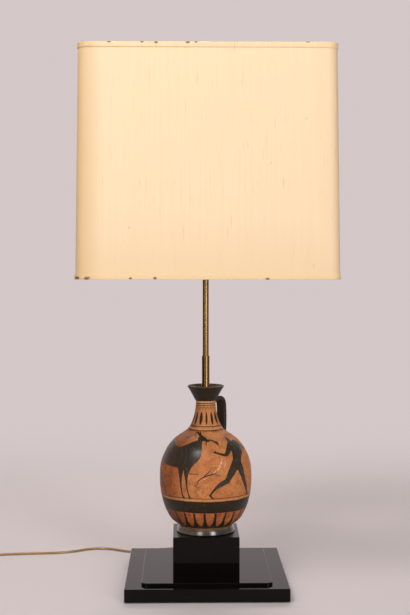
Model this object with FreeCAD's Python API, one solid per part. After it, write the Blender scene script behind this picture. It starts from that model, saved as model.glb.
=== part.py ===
import FreeCAD, Part
import math
import os

# Table lamp made from a painted pottery oil flask on a stepped black base.
# Millimetres. X to the right, Y to the back, Z up from the table.
# The origin is on the table under the stem's centre line.

Vector = FreeCAD.Vector
UP = Vector(0, 0, 1)
OVERRUN = 2.0            # how far a cutting tool runs past the face that it cuts
SEAT_GAP = 0.3           # between round pieces that are seated in each other
SAME_PLACE = 0.001       # points nearer than this are one point
SAME_TURN_SHARE = 1e-9   # turns of the coil nearer than this are one place
ALONG_SHARE = 0.99       # an edge this much in line with an axis runs along it

# Base: felt, bottom plate, raised plate and plinth block
felt_width = 195.0
felt_depth = 210.0
felt_thickness = 1.5
base_width = 206.0
base_depth = 220.0
base_thickness = 16.0
base_edge = 0.6
raised_width = 165.0
raised_depth = 189.0
raised_thickness = 3.5
raised_corner = 8.0
raised_edge = 0.8
block_width = 86.0
block_height = 46.0
block_edge = 0.7
well_radius = 17.0       # room under the block for the stem's nut and the lead
cord_hole_radius = 4.0
cord_hole_height = 8.5   # from the table to the cord hole's centre line

# Screws that hold the block down on the two plates
screw_spacing = 60.0
screw_radius = 2.0
screw_head_radius = 4.0
screw_head_height = 2.4
screw_head_depth = 3.0
screw_bite = 16.0
screw_gap = 0.1

# Stem: fixed outer tube, sliding inner tube, nuts
sleeve_radius = 5.0
sleeve_bore = 4.05
sleeve_tail = 1.7        # outer tube below its nut
sleeve_rise = 39.2       # outer tube above the mouth's rim
tube_radius = 4.0
tube_bore = 3.2
tube_hidden = 139.0      # inner tube inside the outer one, at rest
tube_rise = 111.0        # inner tube above the outer one, at rest
stem_hole_gap = 0.3
foot_nut_flats = 14.0
foot_nut_height = 3.6
foot_washer_radius = 13.0
foot_washer_thickness = 1.2

# Flask: foot, body, mouth, handle
foot_radius = 38.5
foot_waist_radius = 34.0
foot_height = 9.0
foot_round = 1.6
foot_belly_height = 4.5
foot_slack_share = 0.25     # how far in the foot's slope is halfway up
foot_recess_radius = 28.0
foot_recess_depth = 2.0
foot_recess_slope = 3.0
body_height = 163.8
belly_radius = 60.5
flask_wall = 5.0
flask_floor = 6.0
body_shares = [          # share of the body's height, share of the belly's radius
    (0.0, 0.562), (0.0425, 0.727), (0.092, 0.822), (0.165, 0.911), (0.261, 0.974),
    (0.382, 1.0), (0.503, 0.972), (0.599, 0.873), (0.672, 0.736), (0.719, 0.588),
    (0.767, 0.403), (0.817, 0.314), (0.891, 0.246), (0.963, 0.217), (1.0, 0.215),
]
inner_first_share = 0.092
mouth_height = 20.0
mouth_radius = 24.0
mouth_lip = 2.4
mouth_lip_rise = 1.0
mouth_hollow_share = 0.45   # how far down the mouth its inner wall bends
mouth_hollow_radius = 14.5
neck_bore = 8.0

# Handle: a strap from the neck to the shoulder, behind on the right
handle_turn = 54.0       # degrees from the X axis
handle_width = 14.0
handle_thickness = 6.0
handle_dish = 1.6
handle_rim = 2.2
handle_shares = [        # share of the body's height, share of the belly's radius
    (0.9645, 0.1488), (1.0005, 0.2825), (1.0045, 0.4463), (0.978, 0.5664),
    (0.92, 0.6033), (0.802, 0.6116), (0.684, 0.5868),
]

# Mouth fittings
bush_height = 14.0
bush_drop = 4.0
mouth_washer_radius = 12.4
mouth_washer_thickness = 1.8
mouth_washer_depth = 12.4   # from the mouth's rim down to the washer's foot
mouth_nut_radius = 8.0
mouth_nut_height = 4.0
mouth_nut_edge = 0.8

# Lamp holder on the inner tube
nipple_radius = 6.5
nipple_overlap = 8.0     # collar round the inner tube's end
nipple_height = 10.0
cap_neck_radius = 9.5
cap_radius = 20.0
cap_lift = 4.0           # from the collar's foot to the cap's
cap_shoulder = 8.0
cap_swell_share = 0.78
cap_rise_share = 0.38
cap_height = 18.2
cap_wall = 1.6
insert_height = 9.8
insert_wire_hole = 1.4
shell_height = 31.8
thread_radius = 14.4
thread_bore = 13.6
thread_height = 21.0
contact_radius = 4.0
contact_height = 2.0
ring_nut_radius = 27.0
ring_nut_height = 6.0
ring_nut_grooves = 12
ring_nut_groove_radius = 1.25
lower_nut_lift = 8.8     # from the cap's top to the lower nut
spider_ring_radius = 26.0
spider_ring_thickness = 2.0
spider_ring_gap = 0.6
spider_lift = 0.4        # clear height under and over the spider's ring

# Push bar of the switch
bar_radius = 2.5
bar_gap = 0.06
bar_length = 48.0
bar_lift = 14.0          # from the cap's foot to the bar's centre line
bar_offset = 3.0
bar_knob_radius = 3.4
bar_knob_length = 4.5

# Bulb
bulb_cap_radius = 13.1
bulb_cap_height = 22.0
bulb_cap_wall = 0.5
bulb_tip_radius = 5.0
bulb_tip_height = 1.2
bulb_neck_radius = 14.0
bulb_radius = 30.0
bulb_height = 84.0
bulb_wall = 0.8
bulb_neck_share = 0.22
bulb_widest_share = 0.64
bulb_sag_share = 0.04    # how far the glass hangs under a straight slope

# Shade: square with round corners, a little narrower at the top
shade_drop = 38.4        # from the spider's ring down to the shade's foot
shade_height = 281.0
shade_width = 317.0      # across the foot
shade_lean = 4.0         # how far each side leans in at the top
shade_corner = 13.0
liner_thickness = 1.0
cloth_thickness = 0.5
trim_width = 6.4
trim_thickness = 0.9
wire_radius = 1.5
wire_inset = 3.2
arm_radius = 1.6

# Flat two-core lead
lead_width = 5.6
lead_thickness = 3.2
lower_lead_rise = 3.0    # above the block
lower_lead_bend = 7.0
upper_lead_start = 70.0  # above the inner tube's foot
upper_lead_rise = 3.0    # above the inner tube's top
core_radius = 0.8
core_spread = 8.5
core_pitch = 1.4

# Bush and strain relief where the lead leaves the base
bush_flange_radius = 6.5
bush_flange_thickness = 1.5
bush_barrel_length = 9.0
bush_gap = 0.1
relief_length = 20.0
relief_tip_radius = 3.7
relief_root_radius = 5.0
relief_slot_gap = 0.25

# Free lead: steps to the right and back from the strain relief's end, and the share
# of the drop to the table that is left at the first of them
lead_steps = [
    (0, 0), (0, 14.5), (-5.5, 28.5), (-17, 39), (-32.5, 44.5), (-49.5, 45), (-66, 39), (-82, 30),
    (-97, 24.5), (-111.5, 26), (-124, 32), (-137, 40), (-150.5, 46.5), (-164.5, 47.5),
    (-178, 42.5), (-189, 33.5), (-201, 26.5), (-216, 22), (-234, 19.5), (-256, 17), (-280, 13.5),
    (-304, 10.7), (-326, 10), (-342, 10),
]
lead_height_shares = [1.0, 1.0, 0.565, 0.188]
coil_inner_radius = 28.0
coil_pitch = 6.3         # from one turn to the next in the same layer
coil_rise = 3.8          # from one layer to the next
coil_turns = 6.25
coil_layers = 4
biarcs_per_layer = 6
# Lead from the coil's end to the plug: steps, and the share of the drop that is done
tail_steps = [(0, 0), (0, -13), (1.5, -28), (3.5, -43), (4.5, -58), (4.5, -70)]
tail_drop_shares = [0.0, 0.0, 0.4, 0.833, 1.0, 1.0]

# Flat two-pin plug
plug_width = 35.0
plug_neck_width = 14.0
plug_thickness = 14.0
plug_length = 36.0
plug_shoulder_share = 0.42
plug_neck_share = 0.2
plug_round = 3.0
pin_radius = 2.0
pin_length = 19.0
pin_spacing = 18.6
pin_root_length = 8.0
pin_root_radius = 1.5

# Heights and places that follow from the stack
base_top = felt_thickness + base_thickness
raised_top = base_top + raised_thickness
block_top = raised_top + block_height
foot_top = block_top + foot_height
neck_top = foot_top + body_height
mouth_top = neck_top + mouth_height
neck_radius = belly_radius * body_shares[-1][1]
stem_hole_radius = sleeve_radius + stem_hole_gap
foot_nut_foot = raised_top - foot_washer_thickness - foot_nut_height
sleeve_foot = foot_nut_foot - sleeve_tail
sleeve_top = mouth_top + sleeve_rise
tube_foot = sleeve_top - tube_hidden
tube_top = sleeve_top + tube_rise
mouth_washer_foot = mouth_top - mouth_washer_depth
mouth_nut_foot = mouth_washer_foot + mouth_washer_thickness
nipple_foot = tube_top - nipple_overlap
cap_foot = nipple_foot + cap_lift
cap_top = cap_foot + cap_height
insert_top = cap_top + insert_height
bar_height = cap_foot + bar_lift
lower_nut_foot = cap_top + lower_nut_lift
spider_ring_foot = lower_nut_foot + ring_nut_height + spider_lift
upper_nut_foot = spider_ring_foot + spider_ring_thickness + spider_lift
spider_ring_bore = cap_radius + spider_ring_gap
bulb_cap_foot = insert_top + contact_height + SEAT_GAP + bulb_tip_height
bulb_foot = bulb_cap_foot + bulb_cap_height
shade_foot = spider_ring_foot - shade_drop
shade_top = shade_foot + shade_height
frame_inset = cloth_thickness + liner_thickness + wire_radius + SEAT_GAP
lower_lead_top = block_top + lower_lead_rise
upper_lead_foot = tube_foot + upper_lead_start
upper_lead_top = tube_top + upper_lead_rise
lead_level = lead_thickness / 2
relief_end = base_depth / 2 + bush_flange_thickness + relief_length


def cylinder(radius, height, foot, direction=UP, centre=Vector(0, 0, 0)):
    """A round bar along Z, or along a given direction from a given centre."""
    return Part.makeCylinder(radius, height, centre + direction * foot, direction)


def tube(outer, inner, height, foot):
    """A plain ring or pipe round the stem's centre line."""
    return cylinder(outer, height, foot).cut(cylinder(inner, height + 2 * OVERRUN, foot - OVERRUN))


def box(width, depth, height, foot):
    """A block centred on the stem's centre line."""
    return Part.makeBox(width, depth, height, Vector(-width / 2, -depth / 2, foot))


def edges_at(shape, height):
    """The edges of a shape that lie flat at one height."""
    return [edge for edge in shape.Edges
            if all(abs(corner.Point.z - height) < SAME_PLACE for corner in edge.Vertexes)]


def upright_edges(shape):
    """The straight edges of a block that stand along Z."""
    return [edge for edge in shape.Edges if abs(edge.tangentAt(edge.FirstParameter).z) > ALONG_SHARE]


def at(radius, height):
    """A point of a turned piece's outline."""
    return Vector(radius, 0, height)


def turned(*pieces):
    """Turn an outline of points and edges round the stem's centre line."""
    edges = []
    last = None
    for piece in pieces:
        if isinstance(piece, Part.Edge):
            edges.append(piece)
            last = piece.Vertexes[-1].Point
        else:
            if last is not None and last.distanceToPoint(piece) > SAME_PLACE:
                edges.append(Part.makeLine(last, piece))
            last = piece
    first = edges[0].Vertexes[0].Point
    if last.distanceToPoint(first) > SAME_PLACE:
        edges.append(Part.makeLine(last, first))
    face = Part.Face(Part.Wire(edges))
    return face.revolve(Vector(0, 0, 0), UP, 360)


def arc(start, middle, end):
    """A round stretch of an outline through three points."""
    return Part.Arc(start, middle, end).toShape()


def smooth(points):
    """A smooth stretch of an outline through its points."""
    curve = Part.BSplineCurve()
    curve.interpolate(points)
    return curve.toShape()


def rounded_square(half, corner, height):
    """A square wire with round corners, level at one height."""
    flat = half - corner
    diagonal = corner * math.sqrt(0.5)
    edges = []
    for turn in range(4):
        angle = math.radians(90 * turn)
        along = Vector(math.cos(angle), math.sin(angle), 0)
        side = Vector(-math.sin(angle), math.cos(angle), 0)
        lift = UP * height
        edges.append(Part.makeLine(along * half - side * flat + lift, along * half + side * flat + lift))
        middle = (along + side) * (flat + diagonal)
        edges.append(arc(along * half + side * flat + lift, middle + lift, along * flat + side * half + lift))
    return Part.Wire(edges)


def shade_half(height):
    """Half the shade's outside width at a height."""
    share = (height - shade_foot) / shade_height
    return shade_width / 2 - shade_lean * share


def shade_prism(inset, foot, top):
    """The space inside the shade's outer face, drawn in by an inset."""
    wires = [rounded_square(shade_half(z) - inset, shade_corner - inset, z) for z in (foot, top)]
    return Part.makeLoft(wires, True, True)


def shade_wall(outer_inset, inner_inset, foot, top):
    """A thin wall that follows the shade between two heights."""
    hollow_wires = []
    for z in (foot - OVERRUN, top + OVERRUN):
        hollow_wires.append(rounded_square(shade_half(z) - inner_inset, shade_corner - inner_inset, z))
    hollow = Part.makeLoft(hollow_wires, True, True)
    return shade_prism(outer_inset, foot, top).cut(hollow)


def flat_section(centre, along, side):
    """The flat lead's outline with round edges, square to its path."""
    lift = along.cross(side).normalize()
    reach = side * ((lead_width - lead_thickness) / 2)
    half = lift * (lead_thickness / 2)
    nose = side * (lead_width / 2)
    edges = [
        Part.makeLine(centre - reach + half, centre + reach + half),
        arc(centre + reach + half, centre + nose, centre + reach - half),
        Part.makeLine(centre + reach - half, centre - reach - half),
        arc(centre - reach - half, centre - nose, centre - reach + half),
    ]
    return Part.Wire(edges)


def swept_lead(path, start, along, side):
    """Carry the flat section along a path."""
    shell = Part.BRepOffsetAPI.MakePipeShell(path)
    shell.add(flat_section(start, along, side))
    shell.build()
    shell.makeSolid()
    return shell.shape()


def section_area():
    return (lead_width - lead_thickness) * lead_thickness + math.pi * (lead_thickness / 2) ** 2


def rounded_route(points):
    """Straight runs joined by tangent arcs as large as the runs allow, with the arcs' radii."""
    bend_share = 0.45
    edges = []
    radii = []
    last = points[0]
    for before, corner, after in zip(points, points[1:], points[2:]):
        back = (before - corner)
        ahead = (after - corner)
        reach = bend_share * min(back.Length, ahead.Length)
        back.normalize()
        ahead.normalize()
        half_turn = (math.pi - back.getAngle(ahead)) / 2
        radius = reach / math.tan(half_turn)
        start = corner + back * reach
        end = corner + ahead * reach
        inward = (back + ahead).normalize()
        middle = corner + inward * (radius / math.cos(half_turn) - radius)
        edges.append(Part.LineSegment(last, start).toShape())
        edges.append(Part.Arc(start, middle, end).toShape())
        radii.append(radius)
        last = end
    edges.append(Part.LineSegment(last, points[-1]).toShape())
    return Part.Wire(edges), radii


def biarc(start, along_start, end, along_end):
    """Two arcs that leave one point and meet another in given directions."""
    chord = end - start
    total = along_start + along_end
    a = 2 * (1 - along_start.dot(along_end))
    b = 2 * chord.dot(total)
    c = -chord.dot(chord)
    if abs(a) < SAME_PLACE * SAME_PLACE:
        reach = -c / b
    else:
        reach = (-b + math.sqrt(b * b - 4 * a * c)) / (2 * a)
    knee_start = start + along_start * reach
    knee_end = end - along_end * reach
    meeting = (knee_start + knee_end) * 0.5
    edges = []
    for first, knee, second in ((start, knee_start, meeting), (meeting, knee_end, end)):
        back = (first - knee).normalize()
        ahead = (second - knee).normalize()
        half_turn = (math.pi - back.getAngle(ahead)) / 2
        radius = (first - knee).Length / math.tan(half_turn)
        middle = knee + (back + ahead).normalize() * (radius / math.cos(half_turn) - radius)
        edges.append(Part.Arc(first, middle, second).toShape())
    return edges


def lead_route():
    """The free lead's corners, from the strain relief down to the table and along it."""
    points = []
    for i, (right, back) in enumerate(lead_steps):
        share = lead_height_shares[i] if i < len(lead_height_shares) else 0.0
        height = lead_level + (cord_hole_height - lead_level) * share
        points.append(Vector(right, relief_end + back, height))
    return points


# Coil: layers of a flat spiral that runs in and out again
coil_span = coil_pitch * coil_turns / coil_layers
coil_outer_radius = coil_inner_radius + coil_span
coil_start = lead_route()[-1]
coil_lead_in = lead_width
coil_centre = coil_start + Vector(-coil_lead_in, -coil_outer_radius, 0)


def coil_point(turn):
    """A place on the coil and the direction there, after a number of turns."""
    layer_turns = coil_turns / coil_layers
    layer = min(int(turn / layer_turns + SAME_TURN_SHARE), coil_layers - 1)
    into = turn - layer * layer_turns
    inward = layer % 2 == 0
    radius = coil_outer_radius - coil_pitch * into if inward else coil_inner_radius + coil_pitch * into
    drift = (-coil_pitch if inward else coil_pitch) / (2 * math.pi)
    height = layer * coil_rise
    climb = 0.0
    half_climb = layer_turns / biarcs_per_layer
    for border in range(1, coil_layers):
        off = turn - border * layer_turns
        if abs(off) < half_climb - SAME_TURN_SHARE:
            share = off / (2 * half_climb) + 0.5
            height = (border - 1 + share * share * (3 - 2 * share)) * coil_rise
            climb = 6 * share * (1 - share) * coil_rise / (2 * half_climb * 2 * math.pi)
            drift = 0.0 if abs(off) < SAME_TURN_SHARE else drift
    if turn < SAME_TURN_SHARE or turn > coil_turns - SAME_TURN_SHARE:
        drift = 0.0
    angle = math.pi / 2 + 2 * math.pi * turn
    out = Vector(math.cos(angle), math.sin(angle), 0)
    round_way = Vector(-math.sin(angle), math.cos(angle), 0)
    place = coil_centre + out * radius + UP * height
    along = (round_way * radius + out * drift + UP * climb).normalize()
    return place, along


def coil_path():
    """The coil's centre line: a straight start, biarcs of a quarter turn and a straight end."""
    count = coil_layers * biarcs_per_layer
    nodes = [coil_point(coil_turns * i / count) for i in range(count + 1)]
    edges = [Part.LineSegment(coil_start, nodes[0][0]).toShape()]
    for (start, along_start), (end, along_end) in zip(nodes, nodes[1:]):
        edges.extend(biarc(start, along_start, end, along_end))
    last, along = nodes[-1]
    edges.append(Part.LineSegment(last, last + along * coil_lead_in).toShape())
    return Part.Wire(edges)


def coil_gap():
    """The least gap between turns of the coil, measured on points of its centre line."""
    steps_per_turn = 72
    far_apart = 2 * lead_width
    step_count = int(coil_turns * steps_per_turn)
    places = [coil_point(coil_turns * i / step_count)[0] for i in range(step_count + 1)]
    least = far_apart
    for i, first in enumerate(places):
        for second in places[i + steps_per_turn // 2:]:
            apart = second - first
            level = math.hypot(apart.x, apart.y)
            if level < far_apart:
                clear = math.hypot(max(0.0, level - lead_width + lead_thickness), apart.z) - lead_thickness
                least = min(least, clear)
    return least


# Base pieces
def base_felt():
    return box(felt_width, felt_depth, felt_thickness, 0)


def screw_places():
    half = screw_spacing / 2
    return [Vector(x, y, 0) for x in (-half, half) for y in (-half, half)]


def cord_hole(radius, start):
    """A round tool along Y from a place behind the stem to past the base's back face."""
    length = base_depth / 2 - start + OVERRUN
    return Part.makeCylinder(radius, length, Vector(0, start, cord_hole_height), Vector(0, 1, 0))


def base_plate():
    plate = box(base_width, base_depth, base_thickness, felt_thickness)
    plate = plate.makeChamfer(base_edge, edges_at(plate, base_top) + upright_edges(plate))
    plate = plate.cut(cylinder(well_radius, base_thickness + 2 * OVERRUN, felt_thickness - OVERRUN))
    plate = plate.cut(cord_hole(cord_hole_radius, 0))
    for place in screw_places():
        clear = screw_radius + screw_gap
        plate = plate.cut(cylinder(clear, base_thickness + 2 * OVERRUN, felt_thickness - OVERRUN, UP, place))
        head = screw_head_radius + screw_gap
        plate = plate.cut(cylinder(head, screw_head_depth + OVERRUN, felt_thickness - OVERRUN, UP, place))
    return plate


def raised_plate():
    plate = box(raised_width, raised_depth, raised_thickness, base_top)
    plate = plate.makeFillet(raised_corner, upright_edges(plate))
    plate = plate.makeChamfer(raised_edge, edges_at(plate, raised_top))
    plate = plate.cut(cylinder(well_radius, raised_thickness + 2 * OVERRUN, base_top - OVERRUN))
    for place in screw_places():
        clear = screw_radius + screw_gap
        plate = plate.cut(cylinder(clear, raised_thickness + 2 * OVERRUN, base_top - OVERRUN, UP, place))
    return plate


def plinth_block():
    block = box(block_width, block_width, block_height, raised_top)
    block = block.makeChamfer(block_edge, edges_at(block, block_top) + upright_edges(block))
    block = block.cut(cylinder(stem_hole_radius, block_height + 2 * OVERRUN, raised_top - OVERRUN))
    for place in screw_places():
        pilot = cylinder(screw_radius + screw_gap, screw_bite + OVERRUN, raised_top - OVERRUN, UP, place)
        block = block.cut(pilot)
    return block


def base_screws():
    """Four wood screws from under the bottom plate up into the block."""
    screws = []
    head_foot = felt_thickness + screw_head_depth - screw_head_height
    shank_top = raised_top + screw_bite - 2 * screw_gap
    for place in screw_places():
        head = Part.makeCone(screw_head_radius, screw_radius, screw_head_height, place + UP * head_foot)
        neck_foot = head_foot + screw_head_height
        shank = cylinder(screw_radius, shank_top - neck_foot, neck_foot, UP, place)
        screws.append(head.fuse(shank).removeSplitter())
    return Part.makeCompound(screws)


def foot_nut():
    """Hexagon nut that pulls the stem down against the block's underside."""
    corner = foot_nut_flats / 2 / math.cos(math.pi / 6)
    angles = [math.pi / 3 * side for side in range(7)]
    points = [Vector(corner * math.cos(a), corner * math.sin(a), foot_nut_foot) for a in angles]
    nut = Part.Face(Part.makePolygon(points)).extrude(UP * foot_nut_height)
    return nut.cut(cylinder(sleeve_radius, foot_nut_height + 2 * OVERRUN, foot_nut_foot - OVERRUN))


def foot_washer():
    return tube(foot_washer_radius, sleeve_radius, foot_washer_thickness, raised_top - foot_washer_thickness)


def stem_sleeve():
    return tube(sleeve_radius, sleeve_bore, sleeve_top - sleeve_foot, sleeve_foot)


# Flask pieces
def body_outline(inset, first_share):
    """Points up the flask's body, drawn in from its outer face."""
    points = []
    for height_share, radius_share in body_shares:
        if height_share >= first_share:
            points.append(at(belly_radius * radius_share - inset, foot_top + body_height * height_share))
    return points


def body_inside(first_share):
    """Points of the body's inner wall, which ends in the neck's bore."""
    points = body_outline(flask_wall, first_share)
    return [at(max(p.x, neck_bore), p.z) for p in points]


def vessel_foot():
    low = block_top
    rise = low + foot_belly_height
    return turned(
        at(stem_hole_radius, low + foot_recess_depth),
        at(foot_recess_radius, low + foot_recess_depth),
        at(foot_recess_radius + foot_recess_slope, low),
        at(foot_radius - foot_round, low),
        arc(at(foot_radius - foot_round, low),
            at(foot_radius - foot_round * (1 - math.sqrt(0.5)), low + foot_round * (1 - math.sqrt(0.5))),
            at(foot_radius, low + foot_round)),
        at(foot_radius, rise),
        arc(at(foot_radius, rise),
            at(foot_radius - (foot_radius - foot_waist_radius) * foot_slack_share,
               (rise + foot_top) / 2 + foot_round / 2),
            at(foot_waist_radius, foot_top)),
        at(stem_hole_radius, foot_top),
    )


def vessel_body():
    outer = smooth(body_outline(0, 0))
    inside = body_inside(inner_first_share)
    floor = foot_top + flask_floor
    inner = smooth(list(reversed(inside)))
    return turned(
        at(stem_hole_radius, foot_top),
        outer.Vertexes[0].Point, outer,
        inside[-1], inner,
        at(inside[0].x - flask_wall, floor + flask_wall / 2),
        at(inside[0].x - 2 * flask_wall, floor),
        at(stem_hole_radius, floor),
    )


def vessel_mouth():
    bend = mouth_top - mouth_height * mouth_hollow_share
    lip_foot = mouth_top - mouth_lip_rise
    lip_crown = at(mouth_radius - mouth_lip / 2, mouth_top)
    return turned(
        at(neck_bore, neck_top),
        at(neck_radius, neck_top),
        at(mouth_radius, lip_foot),
        arc(at(mouth_radius, lip_foot), lip_crown, at(mouth_radius - mouth_lip, lip_foot)),
        at(mouth_hollow_radius, bend),
    )


def flask_space():
    """Everything inside the flask's outer face, used to trim what is stuck on it."""
    outer = smooth(body_outline(0, 0))
    return turned(at(0, foot_top), outer.Vertexes[0].Point, outer, at(0, neck_top))


def mouth_space():
    lip_foot = mouth_top - mouth_lip_rise
    return turned(at(0, neck_top), at(neck_radius, neck_top), at(mouth_radius, lip_foot), at(0, lip_foot))


def vessel_handle():
    """A dished strap over an arch, trimmed to the neck, the mouth and the shoulder."""
    points = [at(belly_radius * radius_share, foot_top + body_height * height_share)
              for height_share, radius_share in handle_shares]
    root = points[0]
    path = Part.Wire([smooth(points)])
    start_edge = path.Edges[0]
    along = start_edge.tangentAt(start_edge.FirstParameter)
    side = Vector(0, 1, 0)
    lift = along.cross(side).normalize() * -1
    half_width = handle_width / 2
    half = handle_thickness / 2
    corners = [
        root - side * (half_width - handle_rim) - lift * half,
        root - side * half_width,
        root - side * (half_width - handle_rim) + lift * half,
        root + lift * (half - handle_dish),
        root + side * (half_width - handle_rim) + lift * half,
        root + side * half_width,
        root + side * (half_width - handle_rim) - lift * half,
        root - lift * (half - handle_dish / 2),
    ]
    outline = Part.BSplineCurve()
    outline.interpolate(Points=corners, PeriodicFlag=True)
    shell = Part.BRepOffsetAPI.MakePipeShell(path)
    shell.add(Part.Wire([outline.toShape()]))
    shell.build()
    shell.makeSolid()
    strap = shell.shape()
    strap = strap.cut(flask_space()).cut(mouth_space())
    strap = max(strap.Solids, key=lambda solid: solid.Volume)
    return strap.rotated(Vector(0, 0, 0), UP, handle_turn)


def neck_bush():
    """Cork bush that centres the stem in the neck."""
    return tube(neck_bore - SEAT_GAP, sleeve_radius, bush_height, neck_top - bush_drop - bush_height)


def mouth_washer():
    """Dished brass washer that rests in the mouth's funnel."""
    low = mouth_washer_foot
    return turned(
        at(sleeve_radius, low),
        at(mouth_washer_radius - mouth_washer_thickness, low),
        at(mouth_washer_radius, low + mouth_washer_thickness),
        at(sleeve_radius, low + mouth_washer_thickness),
    )


def mouth_nut():
    """Round brass nut on the stem that presses the flask down on the block."""
    nut = tube(mouth_nut_radius, sleeve_radius, mouth_nut_height, mouth_nut_foot)
    rims = [edge for edge in nut.Edges
            if edge.Curve.TypeId == "Part::GeomCircle" and edge.Curve.Radius > sleeve_radius + mouth_nut_edge]
    return nut.makeChamfer(mouth_nut_edge, rims)


# Lead inside the base and the stem
def lead_lower():
    """The lead from the strain relief's end through the base and up the outer tube."""
    centre_height = cord_hole_height
    start = Vector(0, relief_end, centre_height)
    turn_start = Vector(0, lower_lead_bend, centre_height)
    turn_end = Vector(0, 0, centre_height + lower_lead_bend)
    slant = lower_lead_bend * (1 - math.sqrt(0.5))
    middle = Vector(0, slant, centre_height + slant)
    path = Part.Wire([
        Part.LineSegment(start, turn_start).toShape(),
        Part.Arc(turn_start, middle, turn_end).toShape(),
        Part.LineSegment(turn_end, Vector(0, 0, lower_lead_top)).toShape(),
    ])
    return swept_lead(path, start, Vector(0, -1, 0), Vector(1, 0, 0))


def lead_upper():
    """The lead's end inside the inner tube, which moves with it."""
    start = Vector(0, 0, upper_lead_foot)
    path = Part.Wire([Part.LineSegment(start, Vector(0, 0, upper_lead_top)).toShape()])
    return swept_lead(path, start, UP, Vector(1, 0, 0))


def core_wires():
    """The two cores from the lead's end to the holder's terminals."""
    wires = []
    for side in (-1, 1):
        start = Vector(0, side * core_pitch, upper_lead_top)
        end = Vector(0, side * core_spread, cap_top)
        run = end - start
        wire = Part.makeCylinder(core_radius, run.Length + OVERRUN, start, run)
        wire = wire.common(box(cap_radius, 2 * cap_radius, cap_top - upper_lead_top, upper_lead_top))
        wires.append(wire)
    return Part.makeCompound(wires)


def cord_bush():
    """Bush in the base's back face with a tapered strain relief, slotted for the flat lead."""
    back = base_depth / 2
    backward = Vector(0, 1, 0)
    centre = Vector(0, 0, cord_hole_height)
    barrel = Part.makeCylinder(cord_hole_radius - bush_gap, bush_barrel_length,
                               centre + backward * (back - bush_barrel_length), backward)
    flange = Part.makeCylinder(bush_flange_radius, bush_flange_thickness, centre + backward * back, backward)
    taper = Part.makeCone(relief_root_radius, relief_tip_radius, relief_length,
                          centre + backward * (back + bush_flange_thickness), backward)
    bush = barrel.fuse(flange).fuse(taper).removeSplitter()
    slot_width = lead_width + 2 * relief_slot_gap
    slot_thickness = lead_thickness + 2 * relief_slot_gap
    length = bush_barrel_length + bush_flange_thickness + relief_length + 2 * OVERRUN
    corner = Vector(-slot_width / 2, back - bush_barrel_length - OVERRUN, cord_hole_height - slot_thickness / 2)
    slot = Part.makeBox(slot_width, length, slot_thickness, corner)
    slot_sides = [edge for edge in slot.Edges if abs(edge.tangentAt(edge.FirstParameter).y) > ALONG_SHARE]
    slot = slot.makeFillet((slot_thickness - relief_slot_gap / 2) / 2, slot_sides)
    return bush.cut(slot)


def flex_run():
    """The free lead from the strain relief to the coil."""
    path, radii = rounded_route(lead_route())
    lead = swept_lead(path, lead_route()[0], Vector(0, 1, 0), Vector(1, 0, 0))
    print("lead run: length %.1f, volume share %.4f" % (path.Length, lead.Volume / path.Length / section_area()))
    print("lead run radii:", " ".join("%.0f" % radius for radius in radii))
    return lead


def flex_coil():
    """The length of lead that is put away, wound flat in layers."""
    path = coil_path()
    lead = swept_lead(path, coil_start, Vector(-1, 0, 0), Vector(0, 1, 0))
    print("coil: length %.1f, volume share %.4f" % (path.Length, lead.Volume / path.Length / section_area()))
    print("coil: least gap between turns %.2f" % coil_gap())
    return lead


def tail_points():
    last, along = coil_point(coil_turns)
    start = last + along * coil_lead_in
    drop = start.z - plug_thickness / 2
    return [start + Vector(right, back, -drop * share)
            for (right, back), share in zip(tail_steps, tail_drop_shares)]


def flex_tail():
    """The lead from the coil's top layer down to the plug."""
    points = tail_points()
    path, radii = rounded_route(points)
    lead = swept_lead(path, points[0], Vector(0, -1, 0), Vector(1, 0, 0))
    print("lead tail: length %.1f, volume share %.4f" % (path.Length, lead.Volume / path.Length / section_area()))
    print("lead tail radii:", " ".join("%.0f" % radius for radius in radii))
    return lead


def plug_body():
    """A flat plug on its broad side, with shoulders that narrow to the lead."""
    neck = tail_points()[-1]
    neck_half = plug_neck_width / 2
    half = plug_width / 2
    outline = [
        Vector(-neck_half, 0, 0),
        Vector(-neck_half, -plug_length * plug_neck_share, 0),
        Vector(-half, -plug_length * plug_shoulder_share, 0),
        Vector(-half, -plug_length, 0),
        Vector(half, -plug_length, 0),
        Vector(half, -plug_length * plug_shoulder_share, 0),
        Vector(neck_half, -plug_length * plug_neck_share, 0),
        Vector(neck_half, 0, 0),
        Vector(-neck_half, 0, 0),
    ]
    body = Part.Face(Part.makePolygon(outline)).extrude(UP * plug_thickness)
    body = body.makeFillet(plug_round, [edge for edge in body.Edges if upright(edge) or broad(edge)])
    body.translate(Vector(neck.x, neck.y, neck.z - plug_thickness / 2))
    for place in pin_places():
        body = body.cut(Part.makeCylinder(pin_root_radius, pin_root_length, place, Vector(0, 1, 0)))
    return body


def upright(edge):
    """True for a side edge of the plug that stands up, away from the pins' face and the neck."""
    along = edge.tangentAt(edge.FirstParameter)
    y = edge.CenterOfMass.y
    return abs(along.z) > ALONG_SHARE and -plug_length < y - OVERRUN and y + OVERRUN < 0


def broad(edge):
    """True for an edge round the plug's top and bottom faces, except at the neck and the pins."""
    along = edge.tangentAt(edge.FirstParameter)
    y = edge.CenterOfMass.y
    inner = -plug_length < y - OVERRUN and y + OVERRUN < 0
    return abs(along.z) < 1 - ALONG_SHARE and inner


def pin_places():
    """Where the two pins leave the plug's face."""
    neck = tail_points()[-1]
    half = pin_spacing / 2
    return [Vector(neck.x + side * half, neck.y - plug_length, neck.z) for side in (-1, 1)]


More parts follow.
